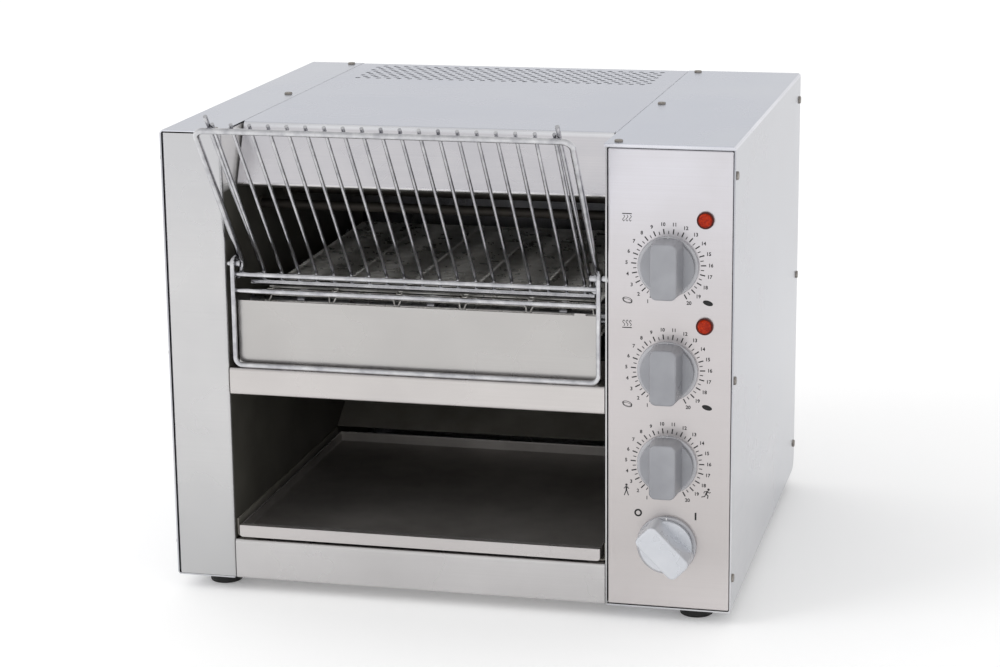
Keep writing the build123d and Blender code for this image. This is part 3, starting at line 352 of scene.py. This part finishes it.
def print_heat(ink, centre, upward):
    """A bar with three waves of heat leaving it, down from the top or up from the bottom."""
    way = 1 if upward else -1
    bar_z = centre[1] - way * HEAT_BAR_REACH
    ink.stroke([(centre[0] - HEAT_BAR_HALF, bar_z), (centre[0] + HEAT_BAR_HALF, bar_z)],
               HEAT_BAR_WIDTH)
    rise = np.linspace(0, 1, WAVE_POINTS)
    for place in WAVE_PLACES:
        wave = np.stack([centre[0] + place + WAVE_SWAY * np.sin(rise * 2 * pi),
                         bar_z + way * (WAVE_START + WAVE_HEIGHT * rise)], -1)
        ink.stroke(wave, WAVE_WIDTH)
        ink.stroke([wave[-1] + (x, way * z) for x, z in ARROW], ARROW_WIDTH)


def print_walker(ink, centre, figure):
    """A small figure: a disc for the head and strokes for trunk, arms and legs."""
    x, z = centre
    head, strokes = figure
    ink.ellipse((x + head[0], z + head[1]), HEAD_RADIUS, HEAD_RADIUS, 0)
    for width, *points in strokes:
        ink.stroke([(x + right, z + up) for right, up in points], width)


bezel_low, bezel_high = in_cabinet("knob_bezels")
knob_names = ("top_heat", "bottom_heat", "speed", "power")
knob_centres = {}
for knob_name in knob_names:
    low, high = in_cabinet(f"{knob_name}_spindle")
    knob_centres[knob_name] = ((low[X] + high[X]) / 2, (low[Z] + high[Z]) / 2)


def panel_print():
    """Scales, heat signs, bread slices, walkers and the O and I of the switch."""
    ink = Print()
    for knob_name in knob_names[:3]:
        print_scale(ink, knob_centres[knob_name])
    print_heat(ink, TOP_HEAT_SIGN, False)
    print_heat(ink, BOTTOM_HEAT_SIGN, True)
    for row_z in SLICE_ROWS:
        for x, below, half_long, half_short, open_share in SLICES:
            ink.ellipse((x, row_z - below), half_long, half_short, SLICE_TURN, open_share)
    print_walker(ink, SLOW_SIGN, STANDING)
    print_walker(ink, FAST_SIGN, RUNNING)
    ink.ellipse(SWITCH_O, SWITCH_O_RADIUS, SWITCH_O_RADIUS, 0, SWITCH_O_OPEN)
    ink.stroke(SWITCH_I, SWITCH_I_WIDTH)
    made = ink.mesh("panel_print", -PRINT_LIFT)
    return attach(made, "cabinet")


def bezel_index():
    """A short white line at the top of each bezel's face, bent over its rounded rim."""
    outer = (bezel_high[X] - bezel_low[X]) / 2
    side = np.array([-INDEX_WIDTH / 2, INDEX_WIDTH / 2])
    across, radius = np.meshgrid(side, outer + np.array(INDEX_PLACES))
    y = bezel_low[Y] - INDEX_LIFT + np.meshgrid(side, INDEX_DEPTHS)[1]
    lines = [np.stack([x + across, y, z + radius], -1).reshape(-1, 3)
             for x, z in knob_centres.values()]
    one = grid_faces(len(INDEX_PLACES), len(side), False)
    faces = one[None] + (np.arange(len(lines)) * len(lines[0]))[:, None, None]
    made = surface_mesh("bezel_index_marks", np.vstack(lines), faces.reshape(-1, 4), False)
    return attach(made, "cabinet")


# ---------------------------------------------------------------- finishes
BRUSHED_ROUGHNESS = 0.27
WIPED_SHARE = 0.5         # how far wiped clouds go towards the darker colour
GROOVE_SHARE = 0.12       # and the lines of the grain
GROOVE_BUMP = 0.05
SMOOTHER = 0.03           # clouds take this off the roughness in one place
ROUGHER = 0.04            # and add this in another
TARNISH_SPREAD = 0.2      # share by which tarnish changes the roughness
FINE_RELIEF = 0.0001      # metres, of brushing and tarnish
MOULD_RELIEF = 0.0002
RIB_RELIEF = 0.0003
RIB_BUMP = 0.25
NOISE_ROUGHNESS = 0.6

# Grain lines of a brushed sheet are about 0.1 mm apart. They are drawn 0.8 mm apart so
# that they show, and run for about 150 mm.
GRAIN = 1250.0
ALONG = 7.0
GRAIN_ALONG = {"x": (ALONG, GRAIN, GRAIN), "y": (GRAIN, ALONG, GRAIN)}

EDGE_OUTSIDE = 0.1        # the painted shade on the sheared edge begins this far from the edge
EDGE_FULL = 0.05          # and is full this far from it
HEAT_LINE = 328.0         # the walls are browned and darkened with painted shade below this, just above the hood's edge
HEAT_FADE = 3.0           # to both sides of that line
STILE_FADE = (1.5, 3.0)   # the stile's finish ends between these depths
RIM_FADE = (0.8, 1.2)     # the tray's bright rim ends, and the floor's painted shade begins, between these depths below its top
FRONT_FADE = (1.3, 1.9)   # and its bright front between these behind its face

# Numbered sockets. Mix: the share, two values and two colours, and the output that gives a
# colour. MapRange: the range read and the range made.
SHARE, VALUE_A, VALUE_B, COLOUR_A, COLOUR_B = 0, 2, 3, 6, 7
MIXED_COLOUR = 2
FROM_LOW, FROM_HIGH, TO_LOW, TO_HIGH = 1, 2, 3, 4


def linear(colour):
    """An sRGB hex colour as linear red, green, blue and alpha."""
    parts = [int(colour[i:i + 2], 16) / 255 for i in (1, 3, 5)]
    return [c / 12.92 if c <= 0.04045 else ((c + 0.055) / 1.055) ** 2.4 for c in parts] + [1.0]


def add(tree, kind, inputs=None, out=0, **settings):
    """Add a node with its settings and return one of its outputs. Inputs maps a socket's
    name or number to a value, to an sRGB colour or to another node's output."""
    made = tree.nodes.new("ShaderNode" + kind)
    for name, value in settings.items():
        setattr(made, name, value)
    for socket, value in (inputs or {}).items():
        if isinstance(value, bpy.types.NodeSocket):
            tree.links.new(value, made.inputs[socket])
        else:
            made.inputs[socket].default_value = linear(value) if isinstance(value, str) else value
    return made.outputs[out] if made.outputs else None


def empty_tree(owner):
    """The cleared node tree of a material or of the world."""
    owner.use_nodes = True
    owner.node_tree.nodes.clear()
    return owner.node_tree


def new_material(name, inputs, **same_all_over):
    """A Principled material: inputs(tree) returns what varies over the surface, and the
    keywords, with underscores for spaces, are what is the same all over it."""
    material = bpy.data.materials.new(name)
    tree = empty_tree(material)
    surface = add(tree, "BsdfPrincipled", {**inputs(tree), **{
        socket.replace("_", " "): value for socket, value in same_all_over.items()}})
    add(tree, "OutputMaterial", {"Surface": surface})
    return material


def pattern(tree, per_metre, detail=3.0, low=0.3, high=0.7):
    """Noise on object coordinates with so many features per metre along X, Y and Z, spread
    so that the values low and high become 0 and 1."""
    place = add(tree, "TexCoord", out="Object")
    place = add(tree, "Mapping", {"Vector": place, "Scale": per_metre})
    noise = add(tree, "TexNoise", {"Vector": place, "Scale": 1.0, "Detail": detail,
                                   "Roughness": NOISE_ROUGHNESS})
    return add(tree, "MapRange", {"Value": noise, FROM_LOW: low, FROM_HIGH: high})


def zone(tree, *planes):
    """A mask that is 1 past every plane. A plane is an axis and the two places along it, in
    cabinet millimetres, between which the mask rises from 0 to 1."""
    place = add(tree, "SeparateXYZ", {0: add(tree, "TexCoord", out="Object")}).node.outputs
    mask = 1.0
    for axis, start, end in planes:
        start, end = (float(CABINET_CORNER[axis] + MM * v) for v in (start, end))
        past = add(tree, "MapRange", {"Value": place[axis], FROM_LOW: start, FROM_HIGH: end})
        mask = add(tree, "Math", {0: past, 1: mask}, operation="MULTIPLY")
    return mask


def brushed(tree, light, dark, grain, roughness, tints=(), stain_and_shade=None):
    """Colour, roughness and bump of brushed sheet: fine lines along the grain that draw
    reflections out across it, and faint clouds where hands have wiped it. Each of tints is a
    colour of painted light that takes over below a height, over so many millimetres.
    stain_and_shade is a mask, a light and a dark colour and a roughness that take over where it
    is 1; its colours are painted shade, with heat stain in them where the sheet is in the
    chamber."""
    lines = pattern(tree, GRAIN_ALONG[grain], 2.0)
    clouds = pattern(tree, (6.0, 6.0, 6.0), 4.0)
    colour = light
    for tint, height, reach in tints:
        below = zone(tree, (Z, height + reach / 2, height - reach / 2))
        colour = add(tree, "Mix", {SHARE: below, COLOUR_A: colour, COLOUR_B: tint},
                     out=MIXED_COLOUR, data_type="RGBA")
    wiped = add(tree, "Mix", {SHARE: WIPED_SHARE, COLOUR_A: colour, COLOUR_B: dark},
                out=MIXED_COLOUR, data_type="RGBA")
    colour = add(tree, "Mix", {SHARE: clouds, COLOUR_A: wiped, COLOUR_B: colour},
                 out=MIXED_COLOUR, data_type="RGBA")
    groove = add(tree, "MapRange", {"Value": lines, TO_LOW: GROOVE_SHARE, TO_HIGH: 0.0})
    colour = add(tree, "Mix", {SHARE: groove, COLOUR_A: colour, COLOUR_B: dark},
                 out=MIXED_COLOUR, data_type="RGBA")
    rough = add(tree, "MapRange", {"Value": clouds, TO_LOW: roughness - SMOOTHER,
                                   TO_HIGH: roughness + ROUGHER})
    if stain_and_shade:
        mask, stain_and_shade_light, stain_and_shade_dark, stain_and_shade_rough = stain_and_shade
        stain_and_shade_colour = pattern(tree, (16.0, 16.0, 16.0), 4.0)
        stain_and_shade_colour = add(tree, "Mix", {SHARE: stain_and_shade_colour, COLOUR_A: stain_and_shade_dark, COLOUR_B: stain_and_shade_light},
                    out=MIXED_COLOUR, data_type="RGBA")
        colour = add(tree, "Mix", {SHARE: mask, COLOUR_A: colour, COLOUR_B: stain_and_shade_colour},
                     out=MIXED_COLOUR, data_type="RGBA")
        rough = add(tree, "Mix", {SHARE: mask, VALUE_A: rough, VALUE_B: stain_and_shade_rough})
    bump = add(tree, "Bump", {"Height": lines, "Strength": GROOVE_BUMP,
                              "Distance": FINE_RELIEF})
    return {"Base Color": colour, "Roughness": rough, "Normal": bump}


def stainless(name, light, dark, grain, roughness=BRUSHED_ROUGHNESS, tints=()):
    """Grade 304 stainless sheet, brushed."""
    return new_material(name, lambda tree: brushed(tree, light, dark, grain, roughness, tints),
                        Metallic=1.0)


def sheared_cover(name, light, dark, tints, edge_x):
    """Brushed cover whose sheared inner edge, at X = edge_x, is left rough and carries a painted
    shade of dark grey.
    """
    def inputs(tree):
        edge = zone(tree, (X, edge_x - EDGE_OUTSIDE, edge_x - EDGE_FULL),
                    (X, edge_x + EDGE_OUTSIDE, edge_x + EDGE_FULL))
        return brushed(tree, light, dark, "y", BRUSHED_ROUGHNESS, tints,
                       (edge, "#3A3B41", "#2C2D33", 0.6))
    return new_material(name, inputs, Metallic=1.0)


def wall_sheet(name, light, dark, tints):
    """Stainless where it makes the front stile. Behind the stile it is duller: painted pale
    beside the hood, as painted light in that shaded recess, and in the chamber below that browned
    by heat and darkened with painted shade."""
    def inputs(tree):
        behind = (Y, *STILE_FADE)
        # Heat stain, darkened further as painted shade of the chamber walls
        heat_stain_and_shade = zone(tree, behind, (Z, HEAT_LINE + HEAT_FADE, HEAT_LINE - HEAT_FADE))
        sheet = brushed(tree, light, dark, "x", BRUSHED_ROUGHNESS, tints,
                        (heat_stain_and_shade, "#605E57", "#4B4943", 0.5))
        # Painted light: the pale colour beside the hood lightens a shaded recess
        painted_light_beside_hood = zone(tree, behind, (Z, HEAT_LINE - HEAT_FADE, HEAT_LINE + HEAT_FADE))
        colour = add(tree, "Mix", {SHARE: painted_light_beside_hood, COLOUR_A: sheet["Base Color"],
                                   COLOUR_B: "#F4F2F1"}, out=MIXED_COLOUR, data_type="RGBA")
        metallic = add(tree, "MapRange", {"Value": zone(tree, behind), TO_LOW: 1.0,
                                          TO_HIGH: 0.3})
        return {**sheet, "Base Color": colour, "Metallic": metallic}
    return new_material(name, inputs)


def tray_sheet():
    """Stainless tray: bright on its front and rim, darker and dull on its floor, where the darker
    colour is painted shade.
    """
    rim_z = in_cabinet("collection_tray")[1][Z]

    def inputs(tree):
        floor = zone(tree, (Z, *(rim_z - depth for depth in RIM_FADE)), (Y, *FRONT_FADE))
        return brushed(tree, "#CAC6C5", "#B4B0AF", "x", 0.25, (),
                       (floor, "#B2AEAB", "#989491", 0.5))
    return new_material("tray_stainless_304", inputs, Metallic=0.8)


def metal(name, light, dark, roughness, spots=60.0, metallic=1.0, depth=0.15):
    """Metal with cloudy tarnish of so many spots per metre, for wire, rod and inner sheet; on the
    chromed rack wire the light and dark clouds are painted glints.
    """
    def inputs(tree):
        tarnish = pattern(tree, (spots, spots, spots), 5.0)
        return {"Base Color": add(tree, "Mix", {SHARE: tarnish, COLOUR_A: dark,
                                                COLOUR_B: light},
                                  out=MIXED_COLOUR, data_type="RGBA"),
                "Roughness": add(tree, "MapRange",
                                 {"Value": tarnish, TO_LOW: roughness * (1 - TARNISH_SPREAD),
                                  TO_HIGH: roughness * (1 + TARNISH_SPREAD)}),
                "Normal": add(tree, "Bump", {"Height": tarnish, "Strength": depth,
                                             "Distance": FINE_RELIEF})}
    return new_material(name, inputs, Metallic=metallic)


def moulded(name, light, dark, roughness, erosion=2500.0, depth=0.1, **same_all_over):
    """Plastic or rubber from an eroded mould: a fine grain under a soft sheen."""
    def inputs(tree):
        fine = pattern(tree, (erosion, erosion, erosion), 2.0)
        broad = pattern(tree, (30.0, 30.0, 30.0), 3.0)
        return {"Base Color": add(tree, "Mix", {SHARE: broad, COLOUR_A: dark,
                                                COLOUR_B: light},
                                  out=MIXED_COLOUR, data_type="RGBA"),
                "Roughness": add(tree, "MapRange",
                                 {"Value": broad, TO_LOW: roughness - SMOOTHER,
                                  TO_HIGH: roughness + ROUGHER}),
                "Normal": add(tree, "Bump", {"Height": fine, "Strength": depth,
                                             "Distance": MOULD_RELIEF})}
    return new_material(name, inputs, **same_all_over)


def lens_plastic():
    """Red polycarbonate lens with moulded ribs inside that break up the lamp's light."""
    def inputs(tree):
        ribs = pattern(tree, (500.0, 100.0, 500.0), 2.0)
        return {"Base Color": add(tree, "Mix", {SHARE: ribs, COLOUR_A: "#841000",
                                                COLOUR_B: "#BE3203"},
                                  out=MIXED_COLOUR, data_type="RGBA"),
                "Normal": add(tree, "Bump", {"Height": ribs, "Strength": RIB_BUMP,
                                             "Distance": RIB_RELIEF})}
    return new_material("lamp_lens_red_polycarbonate", inputs, Roughness=0.16,
                        Specular_IOR_Level=0.2)


left_cover_edge_x = in_cabinet("left_side_cover")[1][X]
top_z = in_cabinet("top_cover")[1][Z]
hood_hem_z = in_cabinet("top_cover")[0][Z]

# Front sheets: warm pale grey. The control panel dims downwards and is paler at its foot: painted
# reflection, bluish and bright at the top and warmer and darker lower down
front_steel = stainless("front_stainless_304", "#D0CCCA", "#B3AFAE", "x")
front_panel_steel = stainless("front_panel_stainless_304", "#C2C0BE", "#A4A1A0", "x")
base_steel = stainless("base_stainless_304", "#CFCDCD", "#B1AFAF", "x")
panel_steel = stainless("panel_stainless_304", "#DDDCE3", "#BAB6B6", "x", 0.31,
                        (("#D0CBCC", 290.0, 120.0), ("#C5C0BF", 150.0, 120.0),
                         ("#D5D0CF", 30.0, 40.0)))

# Covers: painted reflection makes them cooler and bluer on top than on their sides; a painted
# highlight draws a bright line where the sheet bends over its edge, and the sides are painted
# paler below 150 mm
side_painted_light = (("#EDEDF3", top_z - 0.3, 0.4), ("#BBBBBF", top_z - 2.6, 1.0),
              ("#D3D3D5", 150.0, 160.0))
right_steel = stainless("side_stainless_304", "#B4B8C4", "#A4A7B0", "y", tints=side_painted_light)
left_steel = sheared_cover("left_side_stainless_304", "#B8BBC5", "#A4A7B0", side_painted_light,
                           left_cover_edge_x)
# Top cover: bluish grey on top and a paler, warmer grey on the hood's face, both painted
# reflection on one sheet, with painted highlights on the bend over the edge and on the hood's hem
top_steel = stainless("top_stainless_304", "#B4B7C2", "#A0A3AE", "x",
                      tints=(("#F6F6F8", top_z - 0.2, 0.3), ("#E2DFE1", top_z - 3.5, 1.5),
                             ("#F2F0EC", hood_hem_z + 2.2, 1.0)))
# The stile is paler from 300 mm down and darker again below 90 mm: painted light
stile_steel = wall_sheet("stile_stainless_304", "#C6C6C8", "#B2B2B4",
                         (("#D2D1D1", 300.0, 100.0), ("#C1C1C1", 90.0, 160.0)))

# Sheets in the heat: from brown and dull at the runners to black below the belt; the soot and the
# black are heat stain deepened with painted shade
inner_steel = metal("heat_browned_sheet", "#A09C94", "#827E76", 0.5, 20.0, 0.3)
sooted_and_shaded_steel = metal("sooted_and_shaded_sheet", "#504E49", "#3A3833", 0.6, 30.0, 0.6)
blackened_and_shaded_steel = metal("blackened_and_shaded_sheet", "#24231F", "#171614", 0.6, 30.0, 0.6)

# Wire, rod and machined parts: painted glints make sharp streaks on the rack, and painted light
# gives the belt a pale dull shine
chrome = metal("bright_chromed_wire", "#D8D8DA", "#A9A9AE", 0.13, 90.0)
# The belt wire's near-white colour is painted light that brightens it in the dark chamber
belt_steel = metal("dull_belt_wire_with_painted_light", "#FBF9F5", "#DDD9D3", 0.3, 60.0, 0.65, 0.02)
element_steel = metal("oxidised_element_sheath", "#46413C", "#2F2C29", 0.6, 60.0, 0.6)
bright_steel = metal("machined_steel", "#B9B9BC", "#9B9B9F", 0.3, 80.0)
screw_steel = metal("nickel_plated_screw", "#A29D97", "#77726D", 0.34, 300.0)
casing = metal("cast_motor_casing", "#8C8C90", "#74747A", 0.5, 150.0)

# Knobs and bezels: satin plastic with a metallic pigment
knob_grey = moulded("knob_satin_grey_ABS", "#A0A1A6", "#909196", 0.3, 2500.0, 0.03,
                    Metallic=0.35)
knob_silver = moulded("knob_silver_ABS", "#D8DADF", "#C8CBD1", 0.28, 2500.0, 0.03,
                      Metallic=0.45)
bezel_grey = moulded("bezel_satin_grey_ABS", "#B8B8BC", "#A4A4A8", 0.22, Metallic=0.6)

# Other plastic, rubber, ceramic and ink: plain and dull, without metal in it
black_nylon = moulded("black_glass_filled_nylon", "#232325", "#161617", 0.5)
lamp_brown = moulded("lamp_holder_brown_nylon", "#601C10", "#40120A", 0.35,
                     Specular_IOR_Level=0.25)
foot_rubber = moulded("black_moulded_rubber", "#1C1C1C", "#111111", 0.62)
ceramic = moulded("smoked_steatite", "#5C5750", "#454139", 0.5)
board_green = moulded("circuit_board_enamel", "#1E5A34", "#134425", 0.4)
scale_ink = moulded("black_screen_ink", "#161618", "#0C0C0E", 0.6, 4000.0, 0.05)
white_ink = moulded("white_screen_ink", "#F2F2F0", "#E6E6E4", 0.5, 4000.0, 0.05)
red_lens = lens_plastic()
tray_steel = tray_sheet()

finishes = {
    front_steel: ("outlet_header",),
    front_panel_steel: ("front_panel",),
    base_steel: ("base_pan",),
    right_steel: ("right_side_cover", "rear_panel"),
    left_steel: ("left_side_cover",),
    top_steel: ("top_cover",),
    panel_steel: ("control_panel",),
    stile_steel: ("left_inner_panel", "right_inner_panel"),
    tray_steel: ("collection_tray",),
    inner_steel: ("tray_runners", "discharge_chute"),
    sooted_and_shaded_steel: ("upper_heat_shield",),
    blackened_and_shaded_steel: ("lower_heat_shield",),
    chrome: ("rack_hanger_loop", "rack_frame", "rack_cross_rods", "rack_slope_wires",
             "rack_guide_wires", "rack_pins"),
    element_steel: ("upper_heating_elements", "lower_heating_elements"),
    ceramic: ("element_bushes",),
    bright_steel: ("idler_shaft", "idler_wheels", "drive_shaft", "drive_wheels",
                   "drive_sprocket", "motor_sprocket", "motor_shaft", "drive_chain",
                   "shaft_bushes", "top_heat_spindle", "bottom_heat_spindle",
                   "speed_spindle", "power_spindle"),
    screw_steel: ("side_screws", "top_screws", "foot_screws"),
    casing: ("gear_motor",),
    knob_grey: ("top_heat_knob", "bottom_heat_knob", "speed_knob"),
    knob_silver: ("power_knob",),
    bezel_grey: ("knob_bezels",),
    lamp_brown: ("lamp_holders",),
    black_nylon: ("heat_regulators", "power_switch", "terminal_block", "mains_gland",
                  "cooling_fan_frame", "fan_rotor"),
    board_green: ("speed_controller",),
    foot_rubber: ("rubber_feet",),
    red_lens: ("lamp_lenses",),
    belt_steel: ("wire_belt", "belt_links"),
}
for finish, names in finishes.items():
    for name in names:
        nodes[name].data.materials.clear()
        nodes[name].data.materials.append(finish)

# ---------------------------------------------------------------- pieces
for piece, finish in ((wire_belt(), belt_steel), (panel_print(), scale_ink),
                      (bezel_index(), white_ink)):
    piece.data.materials.append(finish)

# ---------------------------------------------------------------- stage, light and camera
FLOOR_SIZE = 30.0         # metres, as are all places below
FLOOR_LIFT = 0.16         # brings the lit floor to white
WORLD_LIGHT = 0.92        # on the object; the background itself shows as white
SIDE_LIGHT = 0.3          # more than that on the left, less on the right
CEILING_LIGHT = 0.75      # overhead in what metal reflects
CEILING_START = 0.3       # upward part of the direction where it begins to dim
CEILING_FULL = 0.9        # and where it has dimmed to the ceiling's light
KEY_PLACE = (-4.5, -3.5, 3.2)
KEY_TARGET = (0.0, 0.0, 0.2)
KEY_SIZE = 3.0
KEY_RADIANCE = 3.2
CAMERA_PLACE = (0.5076, -2.05895, 0.7174)
CAMERA_TURN = 13.68       # degrees, to the left of straight back
CAMERA_DOWN = 13.97
CAMERA_ROLL = -0.6
SENSOR = 36.0             # millimetres
LENS = 91.54
NEAREST_SEEN = 0.05


def seen_directly(tree):
    """1 for rays from the camera, and for those that metal and glass show."""
    path = add(tree, "LightPath").node
    seen = path.outputs["Is Camera Ray"]
    for name in ("Is Glossy Ray", "Is Transmission Ray"):
        seen = add(tree, "Math", {0: seen, 1: path.outputs[name]}, operation="MAXIMUM")
    return seen


def stage_floor():
    """A pale paper floor that keeps the shadow, lifted a little to white where it shows."""
    half = FLOOR_SIZE / 2
    mesh = bpy.data.meshes.new("floor")
    mesh.from_pydata([(-half, -half, 0), (half, -half, 0), (half, half, 0), (-half, half, 0)],
                     [], [(0, 1, 2, 3)])
    floor = in_scene("floor", mesh)
    material = bpy.data.materials.new("floor_paper")
    tree = empty_tree(material)
    paper = add(tree, "BsdfDiffuse", {"Color": "#F7F7F7"})
    lift = add(tree, "Emission", {"Strength": add(tree, "Math", {0: seen_directly(tree),
                                                                1: FLOOR_LIFT},
                                                  operation="MULTIPLY")})
    add(tree, "OutputMaterial", {"Surface": add(tree, "AddShader", {0: paper, 1: lift})})
    mesh.materials.append(material)


def stage_world():
    """White behind the object. What metal reflects is as white at the horizon and dims
    overhead, and what lights the object is brighter on the left."""
    world = bpy.data.worlds.new("studio")
    bpy.context.scene.world = world
    tree = empty_tree(world)
    path = add(tree, "LightPath").node.outputs
    way = add(tree, "SeparateXYZ", {0: add(tree, "TexCoord", out="Generated")}).node.outputs
    lit = add(tree, "MapRange", {"Value": way[X], FROM_LOW: -1.0, FROM_HIGH: 1.0,
                                 TO_LOW: WORLD_LIGHT + SIDE_LIGHT,
                                 TO_HIGH: WORLD_LIGHT - SIDE_LIGHT})
    shown = add(tree, "MapRange", {"Value": way[Z], FROM_LOW: CEILING_START,
                                   FROM_HIGH: CEILING_FULL, TO_LOW: 1.0,
                                   TO_HIGH: CEILING_LIGHT})
    mirrored = add(tree, "Math", {0: path["Is Glossy Ray"], 1: path["Is Transmission Ray"]},
                   operation="MAXIMUM")
    strength = add(tree, "Mix", {SHARE: mirrored, VALUE_A: lit, VALUE_B: shown})
    strength = add(tree, "Mix", {SHARE: path["Is Camera Ray"], VALUE_A: strength,
                                 VALUE_B: 1.0})
    add(tree, "OutputWorld", {"Surface": add(tree, "Background", {"Color": "#FFFFFF",
                                                                  "Strength": strength})})


def soft_box(name, place, target, size, radiance):
    """A square lamp at a place, turned to a target, of a given brightness. Metal doesn't
    mirror it, so that no sheet flashes white from any side."""
    lamp = bpy.data.lights.new(name, "AREA")
    lamp.shape = "SQUARE"
    lamp.size = size
    lamp.energy = radiance * pi * size * size
    holder = in_scene(name, lamp)
    holder.location = place
    holder.rotation_euler = (Vector(target) - Vector(place)).to_track_quat("-Z", "Y").to_euler()
    holder.visible_glossy = False


def stage_camera():
    """A camera at its place, turned to the left of straight back, then down, then rolled."""
    camera_data = bpy.data.cameras.new("camera")
    camera_data.sensor_width = SENSOR
    camera_data.lens = LENS
    camera_data.clip_start = NEAREST_SEEN
    camera = in_scene("camera", camera_data)
    camera.matrix_world = (Matrix.Translation(CAMERA_PLACE)
                           @ Matrix.Rotation(radians(CAMERA_TURN), 4, "Z")
                           @ Matrix.Rotation(radians(90 - CAMERA_DOWN), 4, "X")
                           @ Matrix.Rotation(radians(CAMERA_ROLL), 4, "Z"))
    bpy.context.scene.camera = camera


stage_floor()
stage_world()
soft_box("key_light", KEY_PLACE, KEY_TARGET, KEY_SIZE, KEY_RADIANCE)
stage_camera()
bpy.context.scene.view_settings.view_transform = "Standard"
